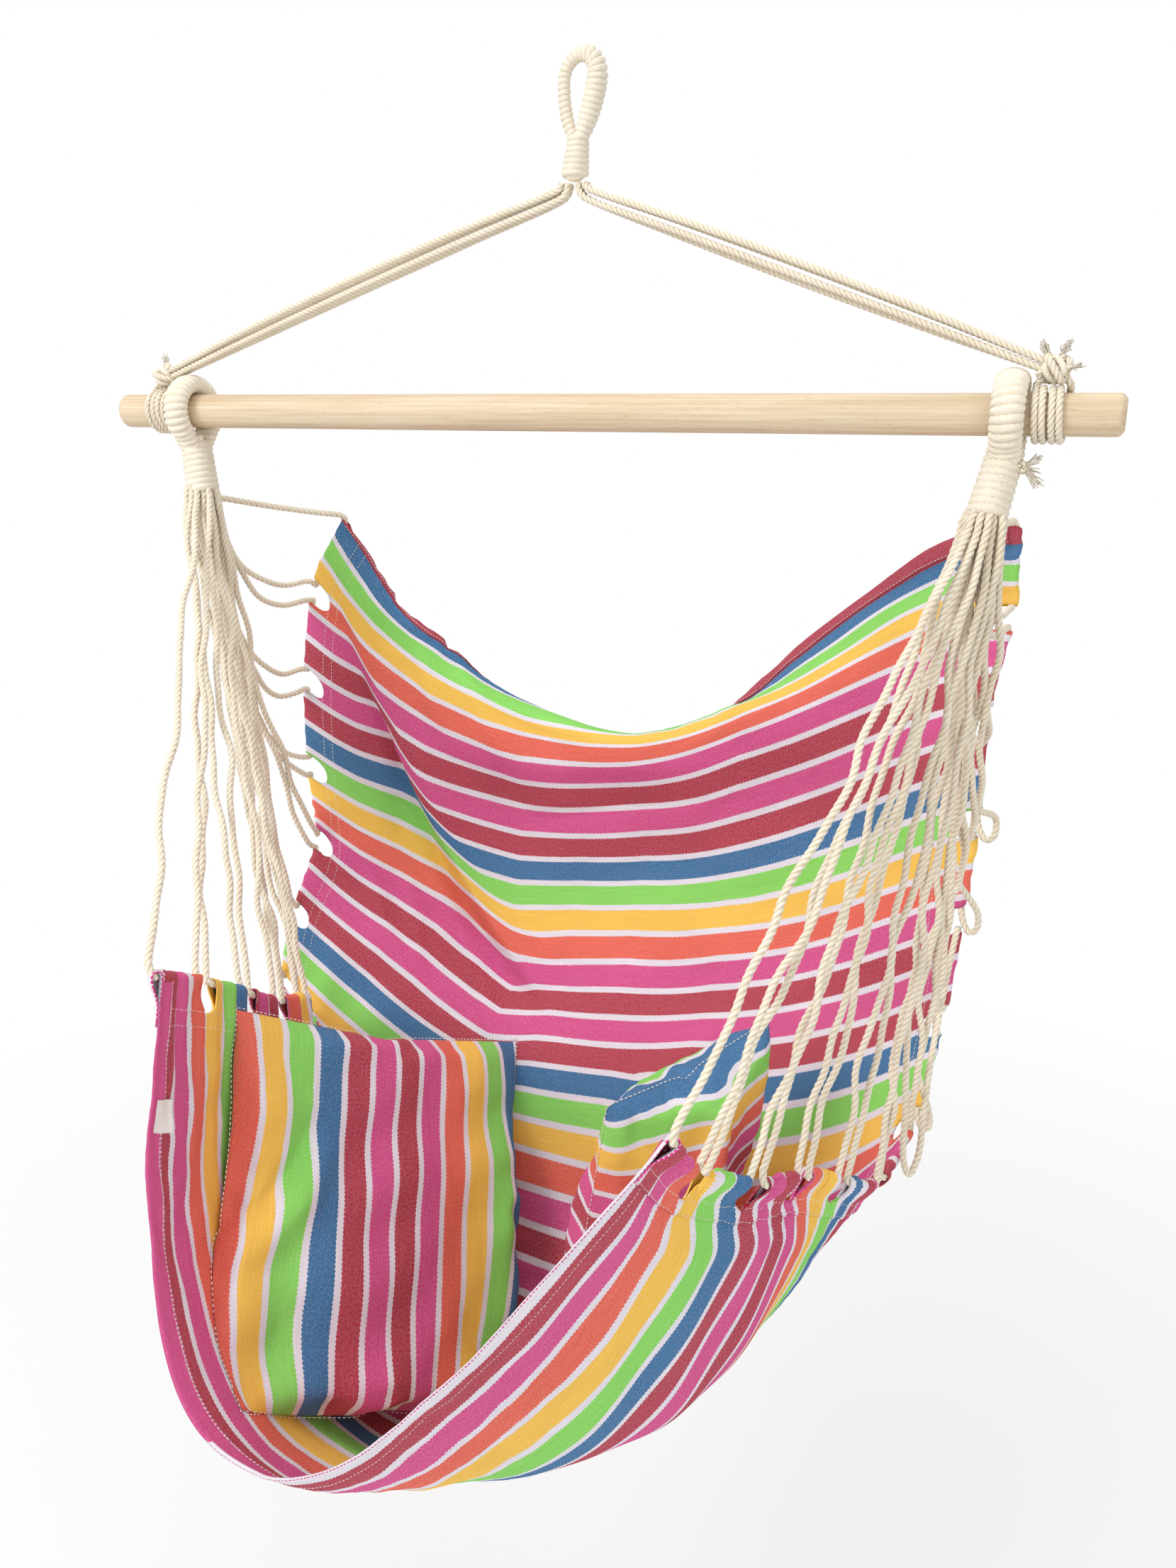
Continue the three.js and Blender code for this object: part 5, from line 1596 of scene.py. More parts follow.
    def dyed_at(self, stripe: float) -> float:
        """The V of the pattern at a stripe number, with the last white drawn out round the front fold."""
        white = self.stripes - self.last_white
        drawn = 0.22
        if stripe > white:
            stripe = white + (stripe - white) * drawn / (self.last - white)
        return stripe * self.pitch

    def flap_point(self, side: int, way: float, stripe: Points) -> Points:
        """The hem beyond the cloth's edge: round the rope's channel and back along the outer face.

        Args:
            side: -1 for the left edge, 1 for the right.
            way: metres along the hem from the edge.
            stripe: stripe numbers.

        Returns:
            The points.
        """
        edge_share = 0.0 if side < 0 else 1.0
        inner_share = 0.012 if side < 0 else 0.988
        edge = self.at(np.full_like(stripe, edge_share), stripe)
        out = self.out_at(np.full_like(stripe, inner_share), stripe)
        inward = self.at(np.full_like(stripe, inner_share), stripe) - edge
        inward = unit(inward - out * np.sum(inward * out, axis=1, keepdims=True))
        turn_length = math.pi * self.channel
        if way <= turn_length:
            angle = way / self.channel
            return edge + self.channel * (out * (1 - math.cos(angle)) - inward * math.sin(angle))
        back = way - turn_length
        share = back / self.width if side < 0 else 1 - back / self.width
        close = eased(min(1.0, back / self.seam))
        lift = 2 * self.channel * (1 - close) + self.thickness * 1.15 * close
        flat = self.at(np.full_like(stripe, share), stripe, lift)
        straight = edge + inward * back + out * lift
        near = min(1.0, back / 0.012)
        return straight * (1 - near) + flat * near

    def channel_line(self, side: int) -> Points:
        """The axis of the rope's channel along a whole side, from the top to the front.

        Args:
            side: -1 for the left edge, 1 for the right.

        Returns:
            Points about 2 mm apart.
        """
        stripe = np.linspace(self.first, self.last, 700)
        turn = math.pi * self.channel
        return (self.flap_point(side, 0.0, stripe) + self.flap_point(side, turn, stripe)) / 2

    def columns(self) -> list[tuple[int, float, float]]:
        """The columns of the sheet's mesh, from the end of the left flap to the end of the right one.

        Returns:
            For each column its part, -1 and 1 for the flaps and 0 between them, its way across the sheet or
            along the flap in metres, and its depth in from the cloth's edge.
        """
        turn = math.pi * self.channel
        near = [0.0, 0.004, 0.008, 0.013, 0.018, 0.023, 0.0265, 0.0289, self.notch_depth]
        ways = [turn * k / 6 for k in range(1, 7)] + [turn + d for d in (*near[1:], 0.034, 0.040, self.flap)]
        flap = [(way, max(0.0, way - turn)) for way in ways]
        inner = np.linspace(self.notch_depth, self.width - self.notch_depth, 146)[1:-1]
        return [
            *((-1, way, depth) for way, depth in reversed(flap)),
            *((0, d, d) for d in near),
            *((0, d, 1.0) for d in inner),
            *((0, self.width - d, d) for d in reversed(near)),
            *((1, way, depth) for way, depth in flap),
        ]

    def build(self, canvas: Material) -> Piece:
        """Builds the whole sheet as one mesh with both faces.

        Args:
            canvas: the cloth's finish.

        Returns:
            The finished sheet.
        """
        columns = self.columns()
        rows = self.rows_each
        points: list[Points] = []
        uvs: list[tuple[float, float]] = []
        index: dict[tuple, int] = {}
        grid = np.empty((self.sleeves, rows + 1, len(columns)), int)
        for c, (part, way, depth) in enumerate(columns):
            # Past the notches the rows of neighbouring sleeves are one
            joined = depth >= self.notch_depth - 1e-9
            for k, stripe in enumerate(self.sleeve_rows(depth)):
                if part == 0:
                    line = self.at(np.full_like(stripe, way / self.width), stripe)
                else:
                    line = self.flap_point(part, way, stripe)
                u = {-1: -way, 0: way, 1: self.width + way}[part]
                for r in range(rows + 1):
                    key = (k * rows + r, c) if joined else (k, r, c)
                    if key not in index:
                        index[key] = len(points)
                        points.append(line[r])
                        uvs.append((u, self.dyed_at(stripe[r])))
                    grid[k, r, c] = index[key]
        faces = []
        for k in range(self.sleeves):
            for r in range(rows):
                for c in range(len(columns) - 1):
                    faces.append((grid[k, r, c], grid[k, r, c + 1], grid[k, r + 1, c + 1], grid[k, r + 1, c]))
        # The top and front hems lie folded on the inner face, the front one in the next stripe's colour
        margin = 0.003
        colour_end = self.stripes + 0.74
        body = [c for c, (part, d, _) in enumerate(columns) if part == 0 and margin < d < self.width - margin]
        across = np.array([columns[c][1] for c in body])
        for end, sense, deep in ((self.first, 1, self.top_turned), (self.last, -1, self.front_turned)):
            previous = [grid[0, 0, c] if sense > 0 else grid[-1, rows, c] for c in body]
            for n, distance in enumerate((0.0006, 0.002, 0.006, 0.011, 0.016, 0.021, deep)):
                lift = -self.thickness * (0.75 if n == 0 else 1.3)
                stripe = np.full(len(body), end + sense * distance / self.pitch)
                start = len(points)
                points += list(self.at(across / self.width, stripe, lift))
                v = end - sense * distance / self.pitch
                if sense < 0:
                    v = min(v, colour_end)
                # On the right half the last white reaches round the front fold
                rim = self.stripes - self.last_white / 2 if sense < 0 and distance < margin else v
                uvs += [(d, (rim if d > self.white_from * self.width else v) * self.pitch) for d in across]
                current = list(range(start, start + len(body)))
                for a in range(len(body) - 1):
                    quad = (previous[a], previous[a + 1], current[a + 1], current[a])
                    faces.append(quad if sense < 0 else quad[::-1])
                previous = current
        sheet = new_piece("canvas_sheet", np.array(points), faces)
        unfold(sheet, uvs)
        smooth(sheet)
        thicken(sheet, self.thickness)
        dress(sheet, canvas, "canvas", Body.SEAT, "canvas_seat")
        return sheet


# The harness


@dataclass
class Harness:
    """The twelve ropes that carry one side of the cloth, each through its own sleeve."""

    side: Side
    eye: SideEye
    seat: CanvasSeat
    rope: float = 0.0068
    count: int = 12
    sway: float = 0.0017
    tucked: float = 0.018
    # How near a sleeve's axis a rope counts as inside it, and how soon it is free past the sleeve's end
    inside: float = 0.007
    eased_over: float = 0.010
    # Legs that bulge out beside the cloth before they turn into a sleeve, by rope number
    bulging: tuple[int, ...] = (3, 4, 6)
    # How such a leg leaves its sleeve's mouth, from there
    droop = np.array(
        [[0.004, -0.003, -0.016], [0.012, -0.006, -0.027], [0.020, -0.009, -0.022], [0.021, -0.012, 0.0]]
    )
    # The slack of one leg, which hangs in a long loop outside the cloth on its way up to the neck
    loop_rope: int = 5
    loop_end: float = -0.73
    loop = np.array(
        [
            [0.357, 0.035, -0.900],
            [0.358, 0.004, -0.948],
            [0.3575, -0.010, -0.982],
            [0.3515, -0.017, -0.998],
            [0.3455, -0.019, -0.984],
            [0.3435, -0.020, -0.930],
            [0.3405, -0.022, -0.860],
            [0.3410, -0.022, -0.790],
        ]
    )

    def threaded(self, line: Points) -> tuple[Points, Points]:
        """Draws a rope's middle onto the axis of its sleeve in the cloth.

        Args:
            line: the rope's middle line.

        Returns:
            The line, and how far along it each point lies past the sleeve's ends, below 0 before the sleeve.
        """
        axis = self.seat.channel_line(-1 if self.side is Side.LEFT else 1)
        gaps = np.linalg.norm(line[:, None, :] - axis[None, :, :], axis=2)
        length = along(line)
        inside = np.nonzero(gaps.min(axis=1) < self.inside)[0]
        first, last = length[inside[0]], length[inside[-1]]
        past = np.maximum(first - length, length - last)
        weight = np.clip(1 - past / self.eased_over, 0, 1)[:, None]
        drawn = line + weight * (axis[gaps.argmin(axis=1)] - line)
        return drawn, np.where(length < first, -past, np.maximum(past, 0))

    def swaying(self, line: Points, past: Points, seed: int) -> Points:
        """Lets a rope sway to and fro between its neck and its sleeve, as slack cotton does.

        Args:
            line: the rope's middle line.
            past: how far each point lies past its sleeve's ends.
            seed: the draw's seed.

        Returns:
            The line with the same ends and the same run through its sleeve.
        """
        rng = np.random.default_rng(seed)
        length = along(line)
        from_end = np.minimum(length, length[-1] - length)
        free = np.clip(from_end / 0.12, 0, 1) * np.clip((np.abs(past) - 0.015) / 0.06, 0, 1)
        out = line.copy()
        for axis, strength in ((0, 1.0), (1, 0.7)):
            for wave in (0.07, 0.12, 0.21):
                shift = np.sin(length / wave * TAU * rng.uniform(0.85, 1.15) + rng.uniform(0, TAU))
                out[:, axis] += strength * self.sway * shift * free * wave / 0.12
        return out

    def slack(self, line: Points, past: Points, number: int) -> Points:
        """Adds the slack that the right side's back ropes hang in.

        Args:
            line: the rope's middle line.
            past: how far each point lies past its sleeve's ends.
            number: the rope's number.

        Returns:
            The line with its bulge or its loop.
        """
        before = line[past < 0.004]
        if number in self.bulging:
            bend = before[-1] + self.droop * (1.15 - 0.08 * number)
            return np.vstack([before, bend, line[past > 0.045]])
        if number == self.loop_rope:
            return np.vstack([before, self.loop, line[(past > 0) & (line[:, 2] > self.loop_end)]])
        return line

    def drawn_in(self, line: Points) -> Points:
        """Runs a rope's two ends up into the neck, closer together than under it.

        Args:
            line: the rope's middle line.

        Returns:
            The line with a point more at each end.
        """
        foot, above = self.eye.neck_at(np.array([self.eye.neck_bottom, self.eye.neck_bottom - self.tucked]))
        ends = []
        for point in (line[0], line[-1]):
            out = point - foot
            out -= unit(above - foot) * np.dot(out, unit(above - foot))
            ends.append(above + out * 0.45)
        return np.vstack([ends[0], line[1:-1], ends[1]])

    def build(self, cotton: Material) -> None:
        """Lays a cord along each CAD rope's middle line.

        Args:
            cotton: the cord's finish.
        """
        cord = Cord(self.rope * 1.03, lay=0.019)
        for k in range(1, self.count + 1):
            node = f"{self.side.word}_harness_rope_{k:02d}"
            line, past = self.threaded(curved(middle_line(node), 0.004))
            line = self.swaying(line, past, 40 + k)
            if self.side is Side.RIGHT:
                line = self.slack(line, past, k)
            line = curved(self.drawn_in(line), 0.004)
            rope = cord.lay_along(f"{self.side.word}_harness_cord_{k:02d}", [line], cotton)
            dress(rope, cotton, "harness_rope", Body.SEAT, node)


# Stitches


@dataclass
class Stitching:
    """A run of small thread stitches that lie on cloth."""

    length: float = 0.0031
    pitch: float = 0.0042
    width: float = 0.0007

    @staticmethod
    def tree() -> Tree:
        """The node tree that sets stitches along a line of edges, made once.

        Returns:
            The tree, whose named inputs are the stitch's sizes, the draw's seed and the thread.
        """
        made = bpy.data.node_groups.get("stitching")
        if made:
            return made
        sizes = dict.fromkeys(("Length", "Pitch", "Width"), "Float")
        tree, given = start_tree("stitching", {**sizes, "Seed": "Int", "Finish": "Material"})
        curve = add_node(tree, "GeometryNodeMeshToCurve", {0: given["Line"]}).outputs[0]
        spots = add_node(
            tree, "GeometryNodeCurveToPoints", {"Curve": curve, "Length": given["Pitch"]}, mode="LENGTH"
        ).outputs
        turned = add_node(tree, "FunctionNodeAlignRotationToVector", {"Vector": spots["Tangent"]}, axis="X")
        bead = add_node(tree, "GeometryNodeMeshUVSphere", {"Segments": 6, "Rings": 4, "Radius": 0.5})
        vary = add_node(
            tree, "FunctionNodeRandomValue", {2: 0.8, 3: 1.15, "Seed": given["Seed"]}, data_type="FLOAT"
        )
        length = add_node(tree, MATH, (given["Length"], vary.outputs[1]), operation="MULTIPLY")
        size = add_node(tree, "ShaderNodeCombineXYZ", {0: length, 1: given["Width"], 2: given["Width"]})
        placed = add_node(
            tree,
            "GeometryNodeInstanceOnPoints",
            {
                "Points": spots["Points"],
                "Instance": bead.outputs[0],
                "Rotation": turned.outputs[0],
                "Scale": size.outputs[0],
            },
        )
        end_tree(tree, placed.outputs[0], given["Finish"])
        return tree

    def sew(self, name: str, lines: Sequence[Points], thread: Material, seed: int) -> Piece:
        """Sews stitches along some lines.

        Args:
            name: the piece's name.
            lines: the seams.
            thread: the thread's finish.
            seed: the draw's seed.

        Returns:
            One plain mesh with every stitch.
        """
        values = {
            "Length": self.length,
            "Pitch": self.pitch,
            "Width": self.width,
            "Seed": seed,
            "Finish": thread,
        }
        return run_tree(name, lines, self.tree(), values)


@dataclass
class HemSeams:
    """The seams that hold the cloth's hems."""

    seat: CanvasSeat
    # How far in the seams run from the top edge, from the front edge and from the end of each side flap
    from_top: float = 0.024
    from_front: float = 0.0215
    from_flap_end: float = 0.0025

    def lines(self) -> list[Points]:
        """Every seam on both faces, as lines just off the cloth."""
        seat = self.seat
        found = []
        lift = seat.thickness * 0.5 + 0.0001
        for depth in (seat.seam, seat.flap - self.from_flap_end):
            for share in (depth / seat.width, 1 - depth / seat.width):
                for rows in seat.sleeve_rows(depth):
                    stripe = np.linspace(rows[0], rows[-1], 40)
                    for off in (-lift, lift + seat.thickness * 1.15):
                        found.append(seat.at(np.full(len(stripe), share), stripe, off))
        share = np.linspace(0.004, 0.996, 260)
        for stripe in (seat.first + self.from_top / seat.pitch, seat.last - self.from_front / seat.pitch):
            for off in (-lift - seat.thickness * 1.3, lift):
                found.append(seat.at(share, np.full(len(share), stripe), off))
        return found

    def build(self, thread: Material) -> Piece:
        """Sews every seam.

        Args:
            thread: the thread's finish.

        Returns:
            The stitches.
        """
        stitches = Stitching().sew("hem_stitches", self.lines(), thread, 3)
        dress(stitches, thread, "canvas", Body.SEAT)
        return stitches


@dataclass
class CareLabel:
    """The blank satin label sewn to the inner face of the front hem."""

    seat: CanvasSeat
    across: float = 0.125
    width: float = 0.031
    length: float = 0.030
    thickness: float = 0.0004
    curl: float = 0.0035
    # From the cloth's front edge, in stripes
    from_front: float = 0.25
    steps: int = 14

    def build(self, satin: Material) -> None:
        """Builds the label with its free corners curled up.

        Args:
            satin: the tape's finish.
        """
        seat = self.seat
        n = self.steps
        end = seat.last - self.from_front
        points = []
        for i in range(n + 1):
            for j in range(n + 1):
                a, b = i / n, j / n
                share = self.across + (a - 0.5) * self.width / seat.width
                stripe = end - b * self.length / seat.pitch
                rise = self.curl * b**2.2 * (0.35 + 0.65 * a) + 0.0004 * math.sin(9 * a + 2) * b
                lift = -(seat.thickness * 1.9 + self.thickness + rise)
                points.append(seat.at(np.array([share]), np.array([stripe]), lift)[0])
        label = new_piece("blank_label", np.array(points), lattice_quads(n + 1, n + 1))
        smooth(label)
        thicken(label, self.thickness)
        dress(label, satin, "label", Body.SEAT, "care_label")


# The cushions


@dataclass
class Cushion:
    """A square stuffed cushion with a knife-edge seam, loose in the seat."""

    side: Side
    seat: CanvasSeat
    corners: tuple[tuple[float, float, float], ...]
    thickness: float
    bow: float
    body: Body
    slot: str
    stripes_upright: bool
    first_stripe: float
    swells: tuple[tuple[float, ...], ...] = ()
    folds: tuple[Crease, ...] = ()
    size: float = 0.40
    steps: int = 50
    gap: float = 0.0013

    def envelope(self) -> tuple[Piece, Points]:
        """Two squares of cloth sewn together at their rims, almost flat.

        Returns:
            The cover, and the flat place of each of its points from -1 to 1, with 0, 1 for the face.
        """
        n = self.steps
        index: dict[tuple[int, int, int], int] = {}
        for face in (1, -1):
            for i in range(n + 1):
                for j in range(n + 1):
                    rim = i in (0, n) or j in (0, n)
                    index.setdefault((i, j, 0 if rim else face), len(index))
        flat = np.array([(2 * i / n - 1, 2 * j / n - 1, face) for i, j, face in index], float)
        faces = []
        for face in (1, -1):
            for i in range(n):
                for j in range(n):
                    corners = [(i, j), (i + 1, j), (i + 1, j + 1), (i, j + 1)]
                    keys = [(a, b, 0 if a in (0, n) or b in (0, n) else face) for a, b in corners]
                    quad = [index[key] for key in keys]
                    faces.append(quad if face > 0 else quad[::-1])
        half = self.size / 2
        x, y, face = flat.T
        rise = face * 0.012 * ((1 - x**2) * (1 - y**2)) ** 0.5
        start = np.stack([x * half, y * half, rise], axis=1)
        return new_piece(f"{self.side.word}_stuffed_cover", start, faces), flat

    def stuff(self, cover: Piece) -> Points:
        """Args:
            cover: the flat cover.

        Returns:
            The filled cover's points, flat on its own axes.
        """
        cloth = cover.modifiers.new("stuffing", "CLOTH")
        for name, value in {
            "quality": 6,
            "mass": 0.12,
            "tension_stiffness": 30,
            "compression_stiffness": 12,
            "shear_stiffness": 12,
            "bending_stiffness": 0.12,
            "tension_damping": 12,
            "compression_damping": 12,
            "shear_damping": 12,
            "use_pressure": True,
            "uniform_pressure_force": 1.0,
        }.items():
            setattr(cloth.settings, name, value)
        cloth.settings.effector_weights.gravity = 0.0
        cloth.collision_settings.use_collision = False
        last_step = 60
        cloth.point_cache.frame_start = 1
        cloth.point_cache.frame_end = last_step
        scene = bpy.context.scene
        graph = bpy.context.evaluated_depsgraph_get()
        points = np.zeros(len(cover.data.vertices) * 3)
        for step in range(1, last_step + 1):
            scene.frame_set(step)
            cover.evaluated_get(graph).to_mesh().vertices.foreach_get("co", points)
            if step > 4 and np.ptp(points[2::3]) > self.thickness:
                break
        LOG.info("%s: stuffed in %d steps", cover.name, step)
        cover.modifiers.clear()
        scene.frame_set(1)
        return points.reshape(-1, 3)

    def place(self, stuffed: Points) -> Points:
        """Moves the filled cover into the seat, over the CAD cushion's corners.

        Args:
            stuffed: the filled cover's points on its own axes.

        Returns:
            The points in the seat.
        """
        stuffed = stuffed - stuffed.mean(axis=0)
        reach = np.abs(stuffed).max(axis=0)
        x, y = stuffed[:, 0] / reach[0], stuffed[:, 1] / reach[1]
        z = stuffed[:, 2] / reach[2] * self.thickness / 2
        full = np.clip(np.abs(z) / 0.012, 0, 1)
        face = np.sign(z)
        for fold in self.folds:
            z = z + (face > 0) * full * fold.rise(x, y, (1.0, 1.0), 0.6)
        rng = np.random.default_rng(21 + self.side.value)
        for _ in range(22):
            kx, ky = rng.normal(0, 5), rng.normal(0, 5)
            z = z + face * full * 0.0011 * np.sin(kx * x + ky * y + rng.uniform(0, TAU) + face)
        # The seam gathers the cover, so short puckers run in from it
        for away, run, number in ((1 - np.abs(x), y, 0), (1 - np.abs(y), x, 1)):
            pucker = np.sin(19 * run + 3 * np.sin(4 * run) + number) + np.sin(31 * run + 2 * number)
            z = z + face * full * 0.0016 * pucker * np.exp(-away / 0.16)
        for at_x, at_y, move_x, move_y, radius in self.swells:
            near = np.exp(-((x - at_x) ** 2 + (y - at_y) ** 2) / radius**2)
            x, y = x + move_x * near, y + move_y * near
        seat = self.seat
        top_left, top_right, low_right, low_left = np.array(self.corners) * seat.width + seat.bar.middle
        a, b = ((x + 1) / 2)[:, None], ((y + 1) / 2)[:, None]
        low = low_left + (low_right - low_left) * a
        high = top_left + (top_right - top_left) * a
        wide = top_right - top_left + low_right - low_left
        tall = top_left - low_left + top_right - low_right
        facing = unit(np.cross(wide, tall))
        sink = self.bow * np.maximum(0, 1 - x * x) * np.maximum(0, 1 - y * y)
        return low + (high - low) * b + facing * (z - sink)[:, None]

    def settle(self, points: Points) -> Points:
        """Presses the cover's points off the canvas, so that it rests against it."""
        seat = self.seat
        rows = seat.surface[::3, ::3]
        quads = lattice_quads(*rows.shape[:2])
        tree = BVHTree.FromPolygons([Vector(p) for p in rows.reshape(-1, 3)], quads)
        normals = seat.outward[::3, ::3].reshape(-1, 3)
        wanted = seat.thickness / 2 + self.gap
        out = points.copy()
        for i, point in enumerate(points):
            here = Vector(point)
            for _ in range(4):
                touch, _, quad, _ = tree.find_nearest(here)
                facing = Vector(normals[quads[quad][0]])
                height = (touch - here).dot(facing)
                if height >= wanted - 1e-6:
                    break
                here = here + facing * (height - wanted)
            out[i] = here
        return out

    def build(self, canvas: Material, thread: Material) -> None:
        """Builds the stuffed cover and its seam.

        Args:
            canvas: the cover's finish.
            thread: the seam's thread.
        """
        cover, flat = self.envelope()
        points = self.settle(self.place(self.stuff(cover)))
        cover.data.vertices.foreach_set("co", points.ravel())
        cover.data.update()
        half = self.size / 2
        x, y = flat[:, 0] * half + half, half - flat[:, 1] * half
        pitch = self.seat.pitch
        if self.stripes_upright:
            uv = np.stack([y, self.first_stripe * pitch - x], axis=1)
        else:
            uv = np.stack([x, self.first_stripe * pitch + y], axis=1)
        unfold(cover, uv)
        smooth(cover)
        rounder = cover.modifiers.new("rounder", "SUBSURF")
        rounder.levels = 1
        rounder.render_levels = 1
        freeze(cover)
        dress(cover, canvas, self.slot, self.body, f"{self.side.word}_cushion")
        stitching = Stitching(length=0.0034, pitch=0.0048, width=0.0011)
        seam = stitching.sew(f"{self.side.word}_cover_seam", [self.rim_line(points, flat)], thread, 8)
        dress(seam, thread, self.slot, self.body)

    def rim_line(self, points: Points, flat: Points) -> Points:
        """The seam round the cover, from its points on the rim."""
        rim = np.nonzero(flat[:, 2] == 0)[0]
        line = points[rim[np.argsort(np.arctan2(flat[rim, 1], flat[rim, 0]))]]
        return curved(np.vstack([line, line[:1]]), 0.003)


# The studio


@dataclass
class Studio:
    """Plain soft light, a pale floor and the camera that took the picture."""

    stand: tuple[float, float, float] = (0.4786, -1.1241, -0.2774)
    look: tuple[float, float, float] = (-0.37088, 0.88228, -0.28987)
    lens: float = 29.13
    floor_drop: float = -1.75
    sky: float = 0.62

    def camera(self) -> None:
        """Sets the camera."""
        data = bpy.data.cameras.new("camera")
        data.lens = self.lens
        data.sensor_width = 36.0
        data.clip_start = 0.02
        camera = bpy.data.objects.new("camera", data)
        camera.location = self.stand
        camera.rotation_euler = Vector(self.look).to_track_quat("-Z", "Y").to_euler()
        bpy.context.scene.collection.objects.link(camera)
        bpy.context.scene.camera = camera

    @staticmethod
    def lamp(name: str, place: Sequence[float], aim: Sequence[float], size: float, power: float) -> None:
        """Hangs a square soft light.

        Args:
            name: the lamp's name.
            place: where it hangs.
            aim: the point that it faces.
            size: its side in metres.
            power: its watts.
        """
        data = bpy.data.lights.new(name, "AREA")
        data.shape = "SQUARE"
        data.size = size
        data.energy = power
        lamp = bpy.data.objects.new(name, data)
        lamp.location = place
        lamp.rotation_euler = (Vector(aim) - Vector(place)).to_track_quat("-Z", "Y").to_euler()
        bpy.context.scene.collection.objects.link(lamp)

    def world(self) -> None:
        """Makes the world white to the camera and to reflections, and a soft fill for the rest."""
        world = bpy.data.worlds.new("studio")
        bpy.context.scene.world = world
        world.use_nodes = True
        tree = world.node_tree
        tree.nodes.clear()
        strength = add_node(tree, RANGE, (seen_by_camera(tree), 0.0, 1.0, self.sky, 1.0))
        light = add_node(tree, "ShaderNodeBackground", {0: (1, 1, 1, 1), 1: strength})
        add_node(tree, "ShaderNodeOutputWorld", {0: light.outputs[0]})

    def floor(self) -> None:
        """Lays the floor: matt white paper that runs out into the white of the background."""
        reach = 14.0
        signs = ((-1, -1), (1, -1), (1, 1), (-1, 1))
        points = np.array([[x * reach, y * reach, self.floor_drop] for x, y in signs])
        floor = new_piece("paper_floor", points, [(0, 1, 2, 3)])
        material, tree, shader = start_material("matt_white_paper")
        shader.inputs["Base Color"].default_value = linear("F4F4F4")
        shader.inputs["Roughness"].default_value = 0.9
        shader.inputs["Specular IOR Level"].default_value = 0.0
        place = add_node(tree, "ShaderNodeTexCoord").outputs["Object"]
        level = add_node(tree, VECTOR, (place, (1, 1, 0)), operation="MULTIPLY")
        away = add_node(tree, VECTOR, (level,), operation="LENGTH")
        fade = add_node(tree, RANGE, (away.outputs["Value"], 0.5, 2.0, 0.5, 1.0))
        share = add_node(tree, MATH, (fade, seen_by_camera(tree)), operation="MULTIPLY")
        white = add_node(tree, "ShaderNodeEmission", {0: (1, 1, 1, 1), 1: 1.0})
        mixed = add_node(tree, "ShaderNodeMixShader", {0: share, 1: shader.outputs[0], 2: white.outputs[0]})
        tree.links.new(mixed.outputs[0], tree.nodes["Material Output"].inputs[0])
        floor.data.materials.append(material)

    def build(self) -> None:
        """Sets up the camera, the lights, the world and the floor."""
        bpy.context.scene.view_settings.view_transform = "Standard"
        self.camera()
        self.world()
        self.floor()
        middle = (0.0, -0.05, -0.7)
        self.lamp("key", (-1.6, -2.4, 1.2), middle, 1.5, 60)
        self.lamp("fill", (2.3, -2.0, 0.2), middle, 2.0, 20)
        self.lamp("top", (0.2, 0.3, 2.2), middle, 2.0, 26)


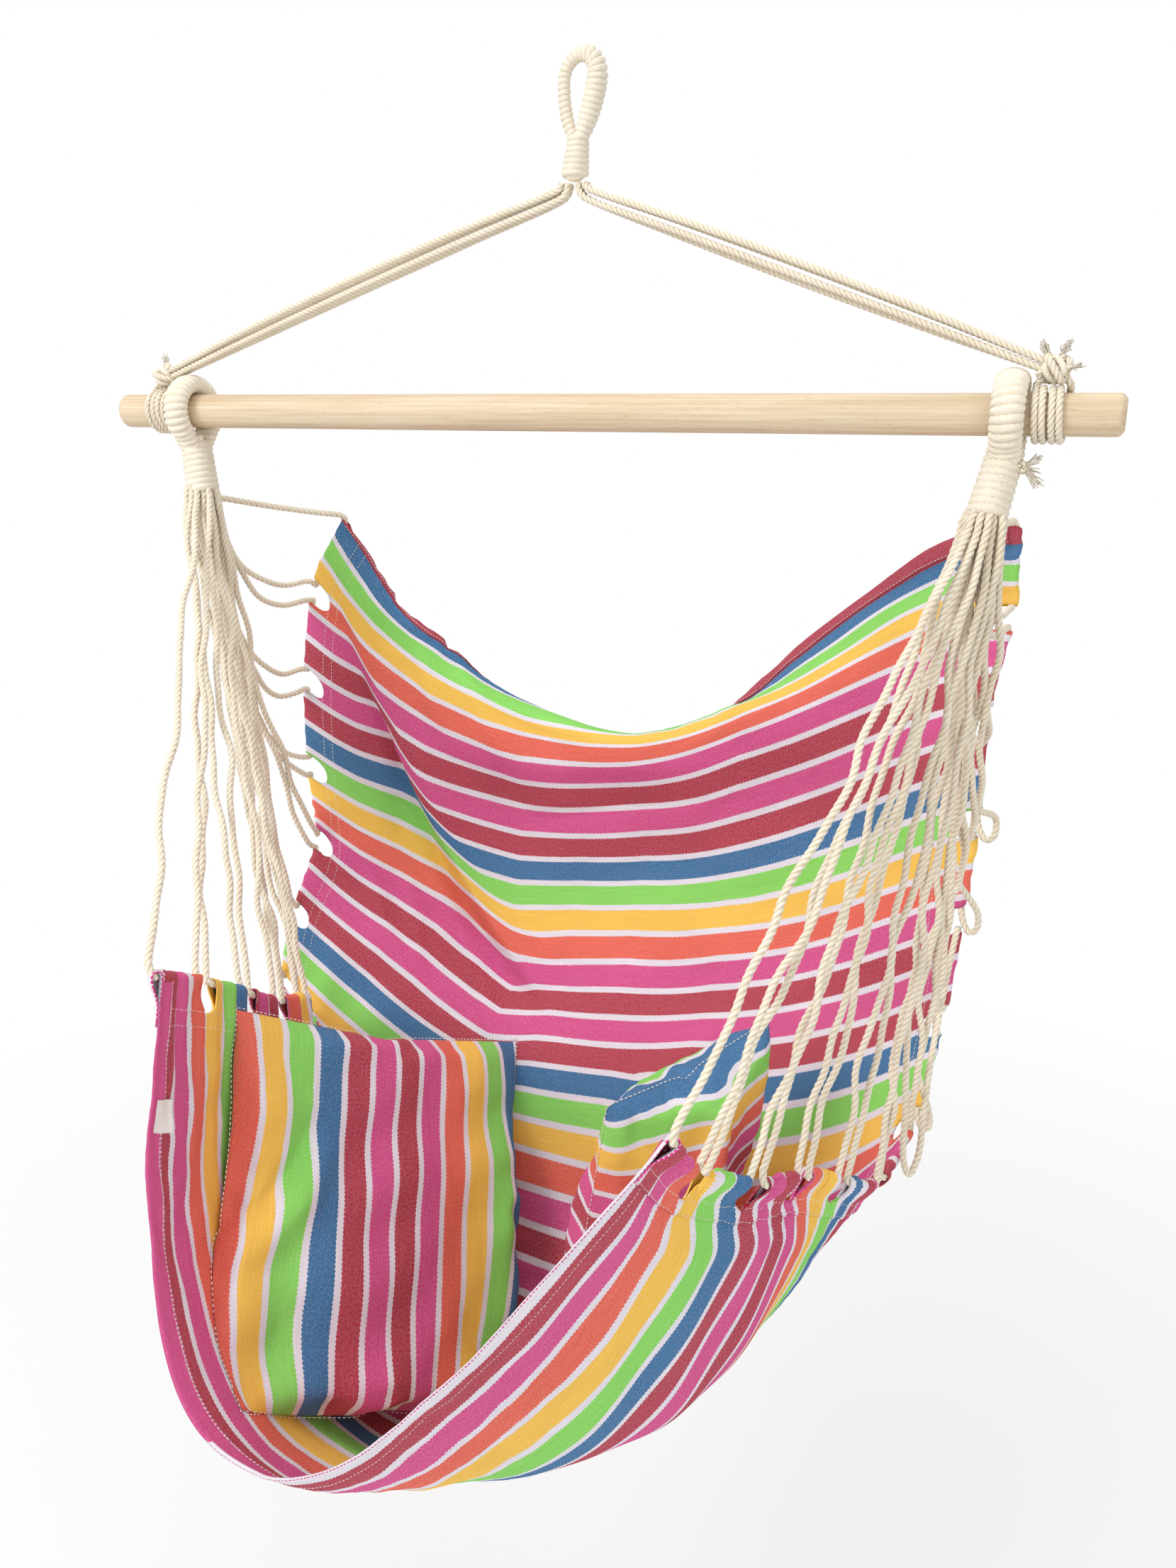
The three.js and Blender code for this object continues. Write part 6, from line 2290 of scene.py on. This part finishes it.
def main() -> None:
    """Builds the chair's pieces in order."""
    logging.basicConfig(level=logging.INFO, format="%(name)s: %(message)s")
    Studio().build()
    cotton = CottonCord().build()
    canvas = StripedCanvas("striped_cotton_canvas").build()
    thread = PlainThread("white_sewing_thread", "EFE9DF").build()
    satin = PlainThread("white_satin_tape", "F4F2EE", ribs=0.0004, roughness=0.45).build()
    bar = SpreaderBar()
    bar.build(SandedBeech().build())
    eye = HangingEye()
    eye.build(cotton)
    Suspension(bar, eye).build(cotton)
    seat = CanvasSeat(bar)
    for side, lean_x, lean_y in ((Side.LEFT, 0.008, -0.005), (Side.RIGHT, -0.010, -0.017)):
        side_eye = SideEye(bar, side, lean_x, lean_y)
        side_eye.build(cotton)
        Harness(side, side_eye, seat).build(cotton)
    sheet = seat.build(canvas)
    stitches = HemSeams(seat).build(thread)
    CareLabel(seat).build(satin)
    Cushion(
        Side.LEFT,
        seat,
        ((-0.226, -0.248, -0.54), (-0.067, 0.052, -0.692), (0.032, -0.19, -0.945), (-0.15, -0.4, -0.872)),
        thickness=0.104,
        bow=0.022,
        body=Body.LEFT_CUSHION,
        slot="left_cover",
        stripes_upright=True,
        first_stripe=19.75,
        swells=((-1.0, -0.4, -0.17, 0.0, 0.55), (0.1, -1.0, 0.0, -0.13, 0.6), (1.0, -0.3, 0.08, 0.0, 0.5)),
        folds=(
            Crease(((-1.02, 0.06), (-0.8, -0.02), (-0.64, 0.2), (-0.5, 0.5)), -0.013, 0.05, 0.05),
            Crease(((-1.0, -0.25), (-0.74, -0.2), (-0.56, 0.04), (-0.42, 0.36)), 0.012, 0.13, 0.09),
            Crease(((-0.93, 0.9), (-0.88, 0.5), (-0.8, 0.1)), 0.007, 0.06, 0.08),
            Crease(((-0.7, 0.92), (-0.62, 0.6), (-0.58, 0.3)), -0.005, 0.05, 0.07),
            Crease(((0.25, 0.95), (0.4, 0.6), (0.55, 0.1)), 0.005, 0.09, 0.12),
            Crease(((-0.72, -0.95), (-0.6, -0.5), (-0.66, -0.2)), -0.006, 0.06, 0.08),
        ),
    ).build(canvas, thread)
    Cushion(
        Side.RIGHT,
        seat,
        ((0.130, -0.170, -0.608), (0.242, -0.022, -0.567), (0.195, -0.028, -0.817), (0.095, -0.225, -0.880)),
        thickness=0.098,
        bow=-0.004,
        body=Body.RIGHT_CUSHION,
        slot="right_cover",
        stripes_upright=False,
        first_stripe=16.1,
        folds=(
            Crease(((0.15, 0.98), (0.05, 0.4), (0.0, -0.1), (0.1, -0.6)), 0.014, 0.2, 0.16),
            Crease(((0.3, 0.8), (0.2, 0.3), (0.25, -0.2)), -0.007, 0.07, 0.07),
            Crease(((-0.95, 0.5), (-0.5, 0.35), (-0.2, 0.45)), -0.006, 0.06, 0.08),
        ),
    ).build(canvas, thread)


if __name__ == "__main__":
    main()
